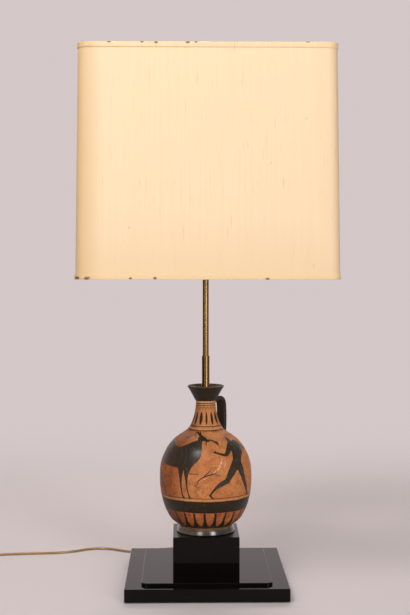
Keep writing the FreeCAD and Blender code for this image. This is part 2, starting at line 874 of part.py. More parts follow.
def plug_pins():
    """Two pins that stand on the plug's face, with narrower roots inside the plug."""
    pins = []
    for place in pin_places():
        pin = Part.makeCylinder(pin_radius, pin_length, place, Vector(0, -1, 0))
        tips = [edge for edge in pin.Edges
                if edge.Curve.TypeId == "Part::GeomCircle" and edge.CenterOfMass.y < place.y - SAME_PLACE]
        pin = pin.makeFillet(pin_radius / 2, tips)
        root = Part.makeCylinder(pin_root_radius, pin_root_length, place, Vector(0, 1, 0))
        pins.append(pin.fuse(root).removeSplitter())
    return Part.makeCompound(pins)


# Inner tube and lamp holder
def stem_tube():
    return tube(tube_radius, tube_bore, tube_top - tube_foot, tube_foot)


def holder_nipple():
    """Collar that joins the holder's cap to the inner tube."""
    collar = tube(nipple_radius, tube_radius, tube_top - nipple_foot, nipple_foot)
    return collar.fuse(tube(nipple_radius, tube_bore, nipple_foot + nipple_height - tube_top, tube_top))


def bar_tool(gap):
    """The push bar's round shape along X, with room round it."""
    start = -bar_length / 2 - bar_offset
    return Part.makeCylinder(bar_radius + gap, bar_length, Vector(start, 0, bar_height), Vector(1, 0, 0))


def holder_cap():
    """Domed metal cap with a hole for the collar and two for the push bar."""
    shoulder = cap_foot + cap_shoulder
    swell = cap_radius - cap_neck_radius
    cap = turned(
        at(nipple_radius, cap_foot),
        at(cap_neck_radius, cap_foot),
        arc(at(cap_neck_radius, cap_foot),
            at(cap_neck_radius + swell * cap_swell_share, cap_foot + cap_shoulder * cap_rise_share),
            at(cap_radius, shoulder)),
        at(cap_radius, cap_top),
        at(cap_radius - cap_wall, cap_top),
        at(cap_radius - cap_wall, shoulder),
        arc(at(cap_radius - cap_wall, shoulder),
            at(cap_neck_radius + swell * cap_swell_share - cap_wall,
               cap_foot + cap_shoulder * cap_rise_share + cap_wall),
            at(cap_neck_radius, cap_foot + cap_wall)),
        at(nipple_radius, cap_foot + cap_wall),
    )
    return cap.cut(bar_tool(bar_gap))


def holder_insert():
    """Porcelain insert with two holes for the cores and a seat for the thread."""
    insert = cylinder(cap_radius - cap_wall - SEAT_GAP, insert_height, cap_top)
    for side in (-1, 1):
        place = Vector(0, side * core_spread, 0)
        insert = insert.cut(cylinder(insert_wire_hole, insert_height + 2 * OVERRUN, cap_top - OVERRUN, UP, place))
    return insert


def holder_shell():
    """Insulating skirt, threaded outside for the ring nuts."""
    return tube(cap_radius, cap_radius - cap_wall, shell_height, cap_top)


def holder_thread():
    return tube(thread_radius, thread_bore, thread_height, insert_top)


def holder_contact():
    return cylinder(contact_radius, contact_height, insert_top)


def ring_nut(foot):
    """Knurled ring, threaded on the holder's skirt."""
    ring = tube(ring_nut_radius, cap_radius + SEAT_GAP / 2, ring_nut_height, foot)
    grooves = []
    for i in range(ring_nut_grooves):
        angle = 2 * math.pi * i / ring_nut_grooves
        place = Vector(ring_nut_radius * math.cos(angle), ring_nut_radius * math.sin(angle), 0)
        grooves.append(cylinder(ring_nut_groove_radius, ring_nut_height + 2 * OVERRUN, foot - OVERRUN, UP, place))
    grip = Part.makeCompound(grooves)
    return ring.cut(grip)


def shade_ring_lower():
    return ring_nut(lower_nut_foot)


def shade_ring_upper():
    return ring_nut(upper_nut_foot)


def switch_bar():
    """Push bar with a knob on each end."""
    knobs = []
    start = -bar_length / 2 - bar_offset
    for x in (start - bar_knob_length, start + bar_length):
        knob = Part.makeCylinder(bar_knob_radius, bar_knob_length, Vector(x, 0, bar_height), Vector(1, 0, 0))
        knobs.append(knob)
    return bar_tool(0).fuse(knobs[0]).fuse(knobs[1]).removeSplitter()


# Bulb
def bulb_outline(inset):
    """Points up the bulb's glass, drawn in from its outer face."""
    neck = bulb_foot + bulb_height * bulb_neck_share
    widest = bulb_foot + bulb_height * bulb_widest_share
    low = at(bulb_cap_radius - bulb_cap_wall - inset, bulb_foot)
    neck_end = at(bulb_neck_radius - inset, neck)
    side = at(bulb_radius - inset, widest)
    slant = at((bulb_neck_radius + bulb_radius) / 2 - inset, (neck + widest) / 2 - (widest - neck) * bulb_sag_share)
    top = at(0, bulb_foot + bulb_height - inset)
    lean = math.sqrt(0.5)
    crown = at((bulb_radius - inset) * lean, widest + (bulb_height * (1 - bulb_widest_share) - inset) * lean)
    return low, neck_end, slant, side, crown, top


def bulb_glass():
    low, neck_end, slant, side, crown, top = bulb_outline(0)
    low_in, neck_in, slant_in, side_in, crown_in, top_in = bulb_outline(bulb_wall)
    return turned(
        low, smooth([low, neck_end, slant, side]), smooth([side, crown, top]),
        top_in, smooth([top_in, crown_in, side_in]), smooth([side_in, slant_in, neck_in, low_in]),
    )


def bulb_cap():
    outer = bulb_cap_radius
    return tube(outer, outer - bulb_cap_wall, bulb_cap_height, bulb_cap_foot)


def bulb_contact():
    """Insulating end of the bulb's cap with its contact."""
    plug = cylinder(bulb_cap_radius - bulb_cap_wall, bulb_tip_height, bulb_cap_foot)
    return plug.fuse(cylinder(bulb_tip_radius, bulb_tip_height, bulb_cap_foot - bulb_tip_height)).removeSplitter()


# Shade pieces
def wire_ring(height):
    """A wire frame ring just inside the liner."""
    path = rounded_square(shade_half(height) - frame_inset, shade_corner - frame_inset, height)
    start = path.Edges[0].Vertexes[0].Point
    along = path.Edges[0].tangentAt(path.Edges[0].FirstParameter)
    section = Part.Wire([Part.makeCircle(wire_radius, start, along)])
    shell = Part.BRepOffsetAPI.MakePipeShell(path)
    shell.add(section)
    shell.build()
    shell.makeSolid()
    return shell.shape()


def shade_wire_bottom():
    return wire_ring(shade_foot + wire_inset)


def shade_wire_top():
    return wire_ring(shade_top - wire_inset)


def shade_spider():
    """Ring round the holder with four arms that end on the bottom wire."""
    spider = tube(spider_ring_radius, spider_ring_bore, spider_ring_thickness, spider_ring_foot)
    wire_height = shade_foot + wire_inset
    reach = shade_half(wire_height) - frame_inset
    root_radius = (spider_ring_radius + spider_ring_bore) / 2
    root_height = spider_ring_foot + spider_ring_thickness / 2
    for turn in range(4):
        angle = math.radians(90 * turn)
        out = Vector(math.cos(angle), math.sin(angle), 0)
        start = out * root_radius + UP * root_height
        run = out * reach + UP * wire_height - start
        spider = spider.fuse(Part.makeCylinder(arm_radius, run.Length, start, run))
    room_radius = ring_nut_radius + SEAT_GAP
    room_height = ring_nut_height + spider_lift
    for foot in (spider_ring_foot - room_height, spider_ring_foot + spider_ring_thickness):
        spider = spider.cut(cylinder(room_radius, room_height, foot))
    spider = spider.cut(cylinder(spider_ring_bore, ring_nut_height, spider_ring_foot - ring_nut_height / 2))
    return spider.cut(shade_wire_bottom()).removeSplitter()


def shade_liner():
    return shade_wall(cloth_thickness, cloth_thickness + liner_thickness, shade_foot, shade_top)


def shade_cloth():
    return shade_wall(0, cloth_thickness, shade_foot, shade_top)


def shade_trim_bottom():
    return shade_wall(-trim_thickness, 0, shade_foot, shade_foot + trim_width)


def shade_trim_top():
    return shade_wall(-trim_thickness, 0, shade_top - trim_width, shade_top)


PIECES = [
    base_felt, base_plate, raised_plate, plinth_block, base_screws, foot_nut, foot_washer,
    vessel_foot, vessel_body, vessel_mouth, vessel_handle, neck_bush, mouth_washer, mouth_nut,
    stem_sleeve, lead_lower, cord_bush, flex_run, flex_coil, flex_tail, plug_body, plug_pins,
    stem_tube, holder_nipple, holder_cap, holder_insert, holder_shell, holder_thread, holder_contact,
    shade_ring_lower, shade_ring_upper, lead_upper, core_wires, switch_bar,
    bulb_glass, bulb_cap, bulb_contact,
    shade_spider, shade_wire_bottom, shade_wire_top, shade_liner, shade_cloth,
    shade_trim_bottom, shade_trim_top,
]

os.makedirs("parts", exist_ok=True)
for piece in PIECES:
    shape = piece()
    if not shape.isValid():
        print(piece.__name__, "is not a valid shape")
    print("%-18s %d solid(s), %.0f mm3" % (piece.__name__, len(shape.Solids), shape.Volume))
    shape.exportStep("parts/%s.step" % piece.__name__)
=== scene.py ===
"""Table lamp on a painted oil flask: everything that is seen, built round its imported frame."""
import math

import bmesh
import bpy
from mathutils import Matrix, Vector


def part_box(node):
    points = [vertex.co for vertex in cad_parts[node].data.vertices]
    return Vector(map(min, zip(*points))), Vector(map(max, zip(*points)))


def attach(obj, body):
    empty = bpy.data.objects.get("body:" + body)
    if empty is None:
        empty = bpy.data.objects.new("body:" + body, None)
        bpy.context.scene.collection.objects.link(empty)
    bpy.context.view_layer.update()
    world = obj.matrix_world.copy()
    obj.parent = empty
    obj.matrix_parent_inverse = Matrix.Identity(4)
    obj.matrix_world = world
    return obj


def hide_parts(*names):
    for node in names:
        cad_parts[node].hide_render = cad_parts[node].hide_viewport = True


bl_info = {
    "name": "Oil Flask Table Lamp",
    "version": (1, 0, 0),
    "blender": (4, 5, 0),
    "location": "View3D > Sidebar > Flask Lamp",
    "description": "Builds the visible pieces of a table lamp that stands on a painted oil flask",
    "category": "Add Mesh",
}

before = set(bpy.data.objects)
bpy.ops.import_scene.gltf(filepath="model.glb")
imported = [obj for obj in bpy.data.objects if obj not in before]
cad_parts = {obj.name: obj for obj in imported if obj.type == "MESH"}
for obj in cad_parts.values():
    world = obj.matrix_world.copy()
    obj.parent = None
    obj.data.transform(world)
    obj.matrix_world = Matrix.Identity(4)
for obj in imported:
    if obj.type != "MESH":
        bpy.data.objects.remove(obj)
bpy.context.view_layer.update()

MM = 0.001
UP = Vector((0, 0, 1))
FULL_TURN = 2 * math.pi
SMOOTH_EDGE_ANGLE = math.radians(32)


def low(node):
    """A node's lowest corner in the frame."""
    return Vector(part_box(node)[0])


def high(node):
    """A node's highest corner in the frame."""
    return Vector(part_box(node)[1])


def colour(name, text, default):
    return bpy.props.FloatVectorProperty(
        name=name, description=text, subtype="COLOR", size=3, min=0.0, max=1.0, default=default)


def length(name, text, default):
    return bpy.props.FloatProperty(
        name=name, description=text, subtype="DISTANCE", unit="LENGTH", min=0.0, default=default)


def number(name, text, default):
    return bpy.props.FloatProperty(name=name, description=text, default=default)


def tilt(name, text, degrees):
    return bpy.props.FloatProperty(
        name=name, description=text, subtype="ANGLE", default=math.radians(degrees))


class FlaskSettings(bpy.types.PropertyGroup):
    belly_radius: length("Belly radius", "Largest radius of the flask's body", high("vessel_body").x)
    body_foot: length("Body foot", "Height of the body's lower end", low("vessel_body").z)
    body_height: length("Body height", "From the foot's top to the mouth's foot",
                        low("vessel_mouth").z - low("vessel_body").z)
    foot_radius: length("Foot radius", "Radius of the disc foot", high("vessel_foot").x)
    mouth_radius: length("Mouth radius", "Radius of the funnel mouth's rim", high("vessel_mouth").x)
    mouth_height: length("Mouth height", "Height of the funnel mouth",
                         high("vessel_mouth").z - low("vessel_mouth").z)
    wall: length("Wall", "Thickness of the thrown wall", 0.005)
    paint: length("Paint", "How far the painted slip stands proud", 0.00012)
    clay: colour("Clay", "Fired orange clay", (0.52, 0.165, 0.048))
    pale_clay: colour("Pale clay", "Lighter, rubbed clay", (0.64, 0.255, 0.088))
    red_clay: colour("Red clay", "Red wash on the rays", (0.36, 0.092, 0.04))
    glaze: colour("Glaze", "Black slip with a brown cast", (0.023, 0.0165, 0.0085))
    brown_glaze: colour("Brown glaze", "Thin, worn slip", (0.085, 0.046, 0.024))
    cream: colour("Cream", "Pale lines at neck and foot", (0.56, 0.36, 0.17))


class ShadeSettings(bpy.types.PropertyGroup):
    corner: length("Corner", "Radius of the shade's upright corners", 0.013)
    trim_width: length("Binding width", "Width of the bindings at top and foot",
                       high("shade_trim_bottom").z - low("shade_trim_bottom").z)
    silk: colour("Silk", "Cream silk cover", (0.935, 0.722, 0.476))
    binding: colour("Binding", "Folded binding of the same silk", (0.94, 0.71, 0.44))
    lining: colour("Lining", "White stiff lining", (0.86, 0.83, 0.76))
    stain: colour("Stain", "Brown rubbed places on the bindings", (0.11, 0.045, 0.014))


class MetalSettings(bpy.types.PropertyGroup):
    brass: colour("Brass", "Lacquered brass of the stem", (0.36, 0.212, 0.068))
    # The tarnished colour, also used for the painted shade down the stem's sides.
    dark_brass: colour("Tarnish", "Tarnished brass", (0.09, 0.04, 0.013))
    steel: colour("Steel", "Zinc plated steel", (0.52, 0.52, 0.5))
    nickel: colour("Nickel", "Plated sleeve of the holder", (0.66, 0.63, 0.57))


class BaseSettings(bpy.types.PropertyGroup):
    lacquer: colour("Lacquer", "Black lacquer", (0.0035, 0.0022, 0.0022))
    felt: colour("Felt", "Felt under the base", (0.012, 0.014, 0.012))


class LeadSettings(bpy.types.PropertyGroup):
    width: length("Lead width", "Width of the flat lead", 0.0056)
    thickness: length("Lead thickness", "Thickness of the flat lead", 0.0032)
    coil_radius: length("Coil radius", "Inner radius of the put away coil", 0.028)
    coil_pitch: length("Coil pitch", "From one turn to the next", 0.0063)
    coil_rise: length("Coil rise", "From one layer to the next", 0.0038)
    gold: colour("Gold", "Translucent gold sheath", (0.42, 0.235, 0.085))


class StageSettings(bpy.types.PropertyGroup):
    backdrop: colour("Backdrop", "Pale floor and backdrop", (0.66, 0.575, 0.575))
    lens: number("Lens", "Camera's focal length in millimetres", 71.2)
    pitch: tilt("Pitch", "How far the camera looks down", 2.078)
    turn: tilt("Turn", "How far the camera is turned to the right", 1.05)
    key: number("Key", "Power of the large front lamps in watts", 58.0)
    top: number("Top", "Power of the lamp above in watts", 12.0)
    fill: number("Fill", "Power of the lamp behind in watts", 62.0)
    ambient: number("Ambient", "Strength of the even light", 0.2)


def settings():
    return bpy.context.scene


# Materials


def worked(operation, turned=False):
    """A method that puts an amount and what it is given through one math node."""
    def method(self, *others):
        values = (*others, self) if turned else (self, *others)
        return self.wiring.math(operation, *values)
    return method


class Amount:
    """What a node gives: it varies over the surface, and takes plain arithmetic."""

    def __init__(self, wiring, socket):
        self.wiring = wiring
        self.socket = socket

    __add__, __sub__, __mul__ = worked("ADD"), worked("SUBTRACT"), worked("MULTIPLY")
    __rsub__, __truediv__ = worked("SUBTRACT", turned=True), worked("DIVIDE")
    __pow__, __abs__ = worked("POWER"), worked("ABSOLUTE")
    at_least, at_most = worked("MAXIMUM"), worked("MINIMUM")
    above, below = worked("GREATER_THAN"), worked("LESS_THAN")
    fraction, whole, sine, root = worked("FRACT"), worked("FLOOR"), worked("SINE"), worked("SQRT")


class Wiring:
    """A tree of shader nodes, with short words for what is done with it often."""

    def __init__(self, tree):
        self.nodes = tree.nodes
        self.links = tree.links

    def put(self, socket, value):
        """Link an input or set its value."""
        if isinstance(value, Amount):
            value = value.socket
        if isinstance(value, bpy.types.NodeSocket):
            self.links.new(value, socket)
        elif hasattr(value, "__len__") and socket.type == "RGBA":
            socket.default_value = (*value[:3], 1.0)
        else:
            socket.default_value = value

    def node(self, kind, inputs=None, **options):
        """Add a node with its options, and fill its inputs by name or number."""
        node = self.nodes.new("ShaderNode" + kind)
        for name, value in options.items():
            setattr(node, name, value)
        for key, value in (inputs or {}).items():
            self.put(node.inputs[key], value)
        return node

    def math(self, operation, *values):
        node = self.node("Math", dict(enumerate(values)), operation=operation)
        return Amount(self, node.outputs[0])

    def either(self, mask, *others):
        """The strongest of some masks."""
        for other in others:
            mask = self.math("MAXIMUM", mask, other)
        return mask


class Recipe(Wiring):
    """One node material, whose patterns lie on the object's own coordinates."""

    def __init__(self, name):
        self.material = bpy.data.materials.new(name)
        self.material.use_nodes = True
        super().__init__(self.material.node_tree)
        self.shader = self.nodes["Principled BSDF"]
        self.place = self.node("TexCoord").outputs["Object"]

    def surface(self, **values):
        """Set or link the shader's inputs, named with underscores for spaces."""
        for name, value in values.items():
            self.put(self.shader.inputs[name.replace("_", " ")], value)

    def step(self, value, start, end):
        """From 0 to 1 as the value goes from start to end, or back down."""
        low_end, high_end, ends = (end, start, (1.0, 0.0)) if start > end else (start, end, (0.0, 1.0))
        node = self.node("MapRange", {"Value": value, "From Min": low_end, "From Max": high_end,
                                      "To Min": ends[0], "To Max": ends[1]}, interpolation_type="SMOOTHSTEP")
        return Amount(self, node.outputs["Result"])

    def band(self, value, start, end, soft):
        """1 between start and end, with soft edges."""
        return self.step(value, start - soft, start + soft) * self.step(value, end + soft, end - soft)

    def noise(self, scale, detail, roughness, vector=None):
        node = self.node("TexNoise", {"Vector": vector or self.place, "Scale": scale, "Detail": detail,
                                      "Roughness": roughness})
        return Amount(self, node.outputs["Fac"])

    def wave(self, scale, direction, distortion, detail, vector):
        node = self.node("TexWave", {"Vector": vector, "Scale": scale, "Distortion": distortion,
                                     "Detail": detail}, bands_direction=direction)
        return Amount(self, node.outputs["Fac"])

    def cracks(self, scale, start, end, vector=None):
        """Fine lines between the cells of a cracked surface."""
        node = self.node("TexVoronoi", {"Vector": vector or self.place, "Scale": scale},
                         feature="DISTANCE_TO_EDGE")
        return self.step(node.outputs["Distance"], start, end)

    def stretched(self, scale, rotation=(0, 0, 0), vector=None):
        """A pattern's place, scaled and turned."""
        inputs = {"Vector": vector or self.place, "Scale": scale, "Rotation": rotation}
        return self.node("Mapping", inputs).outputs["Vector"]

    def mix(self, share, first, second, kind="MIX", data="RGBA"):
        """A colour between two colours, or what one makes of the other."""
        node = self.node("Mix", data_type=data, blend_type=kind)
        for socket, value in zip([s for s in node.inputs if s.enabled], (share, first, second)):
            self.put(socket, value)
        return Amount(self, next(s for s in node.outputs if s.enabled))

    def blend(self, share, first, second):
        """A number between two numbers."""
        return self.mix(share, first, second, data="FLOAT")

    def bump(self, height, distance, strength):
        node = self.node("Bump", {"Height": height, "Distance": distance, "Strength": strength})
        return node.outputs["Normal"]

    def axes(self):
        """The place's three numbers in millimetres."""
        node = self.node("SeparateXYZ", {0: self.place})
        return [self.math("MULTIPLY", output, 1 / MM) for output in node.outputs]

    def angle(self):
        """Degrees round the stem, zero at the front and growing to the right."""
        x, y, _ = self.axes()
        return self.math("ARCTAN2", x, y * -1.0) * math.degrees(1)


def dimmed(tone, *shares):
    """A colour multiplied by one number, or by one for each channel."""
    return tuple(c * share for c, share in zip(tone, shares if len(shares) == 3 else shares * 3))


def grained(name, grain, tones, share, rough, relief, **shader):
    """A finish whose colour, roughness and relief follow one grain.

    grain is the noise's scale, detail and roughness, rough is the spread and the level of the
    roughness, and relief is the bump's distance and strength.
    """
    r = Recipe(name)
    field = r.noise(*grain)
    spread, level = rough
    r.surface(Base_Color=r.mix(field * share, *tones), Roughness=field * spread + level if spread else level,
              Normal=r.bump(field, *relief), **shader)
    return r.material


def felt_finish():
    tones = settings().lamp_base.felt, (0.03, 0.034, 0.03)
    return grained("base_felt", (700.0, 5.0, 0.7), tones, 1.0, (0.0, 0.95), (0.0004, 0.8), Sheen_Weight=0.3)


def steel_finish():
    tones = settings().lamp_metal.steel, (0.3, 0.29, 0.27)
    return grained("plated_steel", (60.0, 4.0, 0.6), tones, 0.4, (0.2, 0.25), (0.0001, 0.3), Metallic=1.0)


def nickel_finish():
    tones = settings().lamp_metal.nickel, (0.4, 0.37, 0.32)
    return grained("nickel_plate", (80.0, 3.0, 0.6), tones, 0.3, (0.15, 0.15), (0.00005, 0.3), Metallic=1.0)


def copper_finish():
    tones = (0.65, 0.25, 0.13), (0.34, 0.12, 0.06)
    return grained("copper", (200.0, 3.0, 0.6), tones, 1.0, (0.2, 0.25), (0.00001, 0.0), Metallic=1.0)


def plastic_finish(name, tone):
    tones = tone, tuple(min(1.0, c * 1.6 + 0.01) for c in tone)
    return grained(name, (900.0, 3.0, 0.6), tones, 0.35, (0.2, 0.3), (0.00005, 0.4))


def bakelite_finish():
    return plastic_finish("black_bakelite", (0.012, 0.011, 0.011))


def plug_finish():
    return plastic_finish("gold_plug", (0.3, 0.17, 0.07))


def porcelain_finish():
    tones = (0.82, 0.79, 0.72), (0.55, 0.5, 0.42)
    return grained("porcelain", (500.0, 3.0, 0.6), tones, 0.3, (0.0, 0.22), (0.00005, 0.3),
                   Coat_Weight=0.5, Coat_Roughness=0.1)


def glass_finish():
    tones = (0.9, 0.89, 0.85), (0.78, 0.77, 0.74)
    return grained("frosted_glass", (1200.0, 2.0, 0.5), tones, 0.2, (0.1, 0.25), (0.00003, 0.3),
                   Coat_Weight=0.3, Coat_Roughness=0.12)


def cork_finish():
    tones = (0.2, 0.1, 0.045), (0.45, 0.27, 0.13)
    return grained("cork", (260.0, 4.0, 0.7), tones, 1.0, (0.0, 0.85), (0.0004, 0.7))


def lacquer_finish():
    """Black lacquer with a faint haze, dust and fine scratches."""
    r = Recipe("black_lacquer")
    p = settings().lamp_base
    haze = r.noise(9.0, 4.0, 0.6)
    dust = r.step(r.noise(900.0, 2.0, 0.6), 0.66, 0.74)
    scratch = r.noise(60.0, 2.0, 0.5, r.stretched((1.0, 14.0, 1.0), (0, 0, 0.6)))
    rough = haze * 0.08 + 0.025 + r.step(scratch, 0.68, 0.72) * 0.05
    r.surface(Base_Color=r.mix(dust * 0.25, p.lacquer, (0.05, 0.045, 0.043)), Roughness=rough, IOR=1.25,
              Normal=r.bump(r.noise(28.0, 2.0, 0.5), 0.00004, 0.5))
    return r.material


def brass_finish():
    """Brass with upright streaks, tarnished in clouds and specks and all over the outer tube, with painted
    shade down the tubes' left and right sides.
    """
    r = Recipe("aged_brass")
    p = settings().lamp_metal
    cloud = r.noise(22.0, 2.0, 0.5, r.stretched((1.0, 1.0, 0.35)))
    specks = r.step(r.noise(700.0, 2.0, 0.5, r.stretched((1.0, 1.0, 0.03))), 0.6, 0.8)
    lines = r.noise(240.0, 2.0, 0.5, r.stretched((1.0, 1.0, 0.02)))
    x, _, z = r.axes()
    on_outer_tube = r.step(z, 302.0, 296.0)
    # Tarnished clouds and specks, and painted shade: the tubes are darker left of their middle and along
    # their right edge, and the outer tube left of its highlight.
    tarnish_and_shade = r.either(r.step(cloud, 0.5, 0.72) * 0.5, specks * 0.25, r.step(x, -0.2, -1.6) * 0.85,
                       r.step(x, 0.9, 2.4) * 0.5, on_outer_tube * 0.6, on_outer_tube * r.step(x, 0.9, -0.3))
    r.surface(Base_Color=r.mix(tarnish_and_shade, p.brass, p.dark_brass), Metallic=1.0, Roughness=cloud * 0.16 + 0.16,
              Normal=r.bump(lines, 0.00001, 0.15))
    return r.material


def white_wire_finish():
    """White paint on the shade's wires, chipped here and there."""
    r = Recipe("white_wire_paint")
    chip = r.step(r.noise(320.0, 3.0, 0.6), 0.66, 0.72)
    r.surface(Base_Color=r.mix(chip, (0.78, 0.75, 0.68), (0.3, 0.2, 0.12)), Roughness=0.45,
              Normal=r.bump(chip, 0.0001, 0.4))
    return r.material


def gold_flex_finish():
    """Gold sheath of the lead, with the twist of its cores showing through."""
    r = Recipe("gold_flex")
    p = settings().lamp_lead
    dull = r.noise(30.0, 3.0, 0.6)
    twist = r.noise(340.0, 2.0, 0.5)
    tone = r.mix(dull, p.gold, dimmed(p.gold, 0.62))
    r.surface(Base_Color=r.mix(twist * 0.3, tone, (0.62, 0.42, 0.2)), Metallic=0.35,
              Roughness=dull * 0.15 + 0.22, Coat_Weight=0.6, Coat_Roughness=0.12,
              Normal=r.bump(twist, 0.0001, 0.35))
    return r.material


def glaze_layer(r):
    """Colour, roughness and relief of the black slip, for the pieces that carry it."""
    p = settings().lamp_flask
    cloud = r.noise(26.0, 5.0, 0.62)
    strokes = r.noise(120.0, 3.0, 0.55, r.stretched((0.35, 0.35, 1.6)))
    pores = r.step(r.noise(620.0, 3.0, 0.6), 0.63, 0.7)
    thin = r.step(cloud, 0.46, 0.8) * r.step(strokes, 0.3, 0.75)
    tint = r.mix(pores * 0.35, r.mix(thin * 0.75, p.glaze, p.brown_glaze), p.clay)
    return tint, cloud * 0.22 + 0.24, strokes


def glaze_finish():
    """Matt black slip of the handle."""
    r = Recipe("black_glaze")
    tint, rough, strokes = glaze_layer(r)
    r.surface(Base_Color=tint, Roughness=rough + 0.14, IOR=1.34, Normal=r.bump(strokes, 0.00018, 0.55))
    return r.material


def figure_finish():
    """Slip of the painted figures, red brown on the flask's left side where the firing was darker."""
    r = Recipe("figure_glaze")
    tint, rough, strokes = glaze_layer(r)
    left_side_band = r.band(r.angle(), -112.0, -44.0, 14.0) * 0.6
    r.surface(Base_Color=r.mix(left_side_band, tint, (0.05, 0.018, 0.007)), Roughness=rough - 0.07, IOR=1.42,
              Normal=r.bump(strokes, 0.00018, 0.55))
    return r.material


def mouth_finish():
    """Matt slip, rubbed thin and brown on the mouth's lip, and lighter brown all down its inside as painted
    light in the shaded hollow.
    """
    r = Recipe("mouth_glaze")
    tint, rough, strokes = glaze_layer(r)
    x, y, height = r.axes()
    rim = high("vessel_mouth").z / MM
    wide = settings().lamp_flask.mouth_radius / MM
    across = (x * x + y * y).root()
    flare = (rim - height) * 0.55 + across
    inside = r.step(flare, wide - 1.2, wide - 2.2)
    tint = r.mix(r.step(height, rim - 1.8, rim - 0.6) * 0.8, tint, (0.115, 0.073, 0.047))
    # Painted light: the shaded inside of the funnel is given a lighter brown.
    tint = r.mix(inside * 0.85, tint, (0.15, 0.098, 0.066))
    r.surface(Base_Color=tint, Roughness=inside * 0.3 + (rough + 0.14), IOR=1.3,
              Normal=r.bump(strokes, 0.00018, 0.55))
    return r.material


def foot_finish():
    """Glossy slip on the foot, rubbed brown along its edges."""
    r = Recipe("foot_glaze")
    tint, _, strokes = glaze_layer(r)
    _, _, height = r.axes()
    patch = r.noise(55.0, 4.0, 0.65)
    worn = r.step(patch, 0.4, 0.64) * 0.72
    rim = r.step(height, 73.4, 75.2) * r.step(patch, 0.3, 0.5)
    tint = r.mix(rim * 0.8, r.mix(worn, tint, (0.125, 0.08, 0.05)), (0.3, 0.185, 0.1))
    r.surface(Base_Color=tint, Roughness=patch * 0.2 + 0.12, IOR=1.6, Coat_Weight=0.6, Coat_Roughness=0.12,
              Normal=r.bump(strokes, 0.00003, 0.3))
    return r.material


def scratch_finish():
    """Clay that shows where the slip was scratched away."""
    r = Recipe("scratched_clay")
    grain = r.noise(300.0, 4.0, 0.65)
    tint = r.mix(r.step(grain, 0.35, 0.6), (0.17, 0.075, 0.034), settings().lamp_flask.glaze)
    r.surface(Base_Color=tint, Roughness=0.6, Normal=r.bump(grain, 0.0001, 0.5))
    return r.material


def rubbed_finish():
    """Pale places where the clay has been knocked and rubbed."""
    r = Recipe("rubbed_clay")
    grain = r.noise(360.0, 4.0, 0.7)
    tint = r.mix(r.step(grain, 0.42, 0.6), (0.66, 0.45, 0.31), (0.5, 0.22, 0.1))
    r.surface(Base_Color=tint, Roughness=0.8, Normal=r.bump(grain, 0.0002, 0.6))
    return r.material


# Heights in millimetres and angles in degrees of the flask's painted bands
BAND_FOOT = 100.0
TONGUE_LENGTH = 19.5
TONGUE_STEP = 15.0
LEAF_TOP = 226.0
LEAF_STEP = 25.7
ARC_STEP = 18.0

# Painted rings: lower edge, upper edge and softness in millimetres, and strength
DARK_RINGS = [
    (236.4, 237.4, 0.3, 1.0), (233.9, 234.8, 0.3, 1.0), (206.9, 207.9, 0.35, 1.0), (201.9, 203.1, 0.35, 0.9),
    (119.6, 120.6, 0.3, 0.8), (100.3, 115.9, 0.35, 1.0),
]
PALE_RINGS = [
    (204.0, 205.3, 0.4, 0.8), (116.6, 118.2, 0.4, 0.55), (237.9, 239.3, 0.3, 1.0), (235.2, 236.3, 0.4, 0.6),
]

# Brown places on the bindings' front: x, height, half width and half height in millimetres
BINDING_STAINS = [
    (-143.5, 402.6, 4.6, 2.6), (-155.5, 403.0, 3.0, 2.0), (-92.0, 402.5, 2.4, 1.6), (-63.0, 402.5, 2.2, 1.6),
    (-117.0, 681.5, 2.6, 1.2), (-78.0, 681.5, 2.2, 1.2), (-61.0, 681.0, 2.6, 1.4), (-24.0, 681.0, 2.6, 1.4),
    (-14.0, 681.5, 2.0, 1.2), (70.0, 402.0, 2.6, 1.4), (118.0, 682.0, 3.0, 1.2),
]


def bare_clay(r, angle):
    """The fired clay with mottles, specks, rubbed streaks and cracks, and its left side darkened as painted
    shade.
    """
    p = settings().lamp_flask
    cloud = r.noise(17.0, 5.0, 0.6)
    mottle = r.noise(95.0, 5.0, 0.65)
    speck = r.noise(520.0, 4.0, 0.65)
    streak = r.noise(70.0, 3.0, 0.6, r.stretched((0.6, 0.6, 3.2), (0.35, 0.2, 0)))
    clay = r.mix(r.step(cloud, 0.3, 0.72), p.clay, p.pale_clay)
    clay = r.mix(r.step(mottle, 0.42, 0.72) * 0.64, clay, dimmed(p.clay, 0.5))
    clay = r.mix(r.step(speck, 0.53, 0.68) * 0.6, clay, dimmed(p.clay, 0.32))
    clay = r.mix(r.step(streak, 0.56, 0.74) * 0.5, clay, p.pale_clay)
    crazed = r.cracks(150.0, 0.035, 0.0)
    clay = r.mix(crazed * (r.step(cloud, 0.4, 0.6) * 0.35), clay, dimmed(p.clay, 0.5))
    wobble = r.node("TexNoise", {"Vector": r.place, "Scale": 70.0}).outputs["Color"]
    bent = r.node("VectorMath", {0: wobble, 1: (0.03, 0.03, 0.03), 2: r.place}, operation="MULTIPLY_ADD")
    hairline = r.cracks(48.0, 0.022, 0.008, bent.outputs[0]) * r.step(cloud, 0.42, 0.52)
    clay = r.mix(hairline * 0.5, clay, dimmed(p.clay, 0.22))
    # Painted shade: the left side of the flask is darkened.
    left_side_band = r.band(angle, -112.0, -36.0, 17.0) * 0.85
    return r.mix(left_side_band, clay, (0.5, 0.37, 0.31), "MULTIPLY"), left_side_band, mottle, speck, crazed


def red_tongues(r, z, degrees):
    """Where the red tongues under the wide band are. What they leave free is the black rays."""
    along = (degrees - 5.0) / TONGUE_STEP
    across = abs(along.fraction() - 0.5)
    depth = (BAND_FOOT - z) / TONGUE_LENGTH
    sweep = depth.at_least(0.0) ** 2.6
    room = (1.0 - sweep).at_least(0.0).root() * 0.41
    return r.step(room - (0.5 - across), -0.03, 0.05)


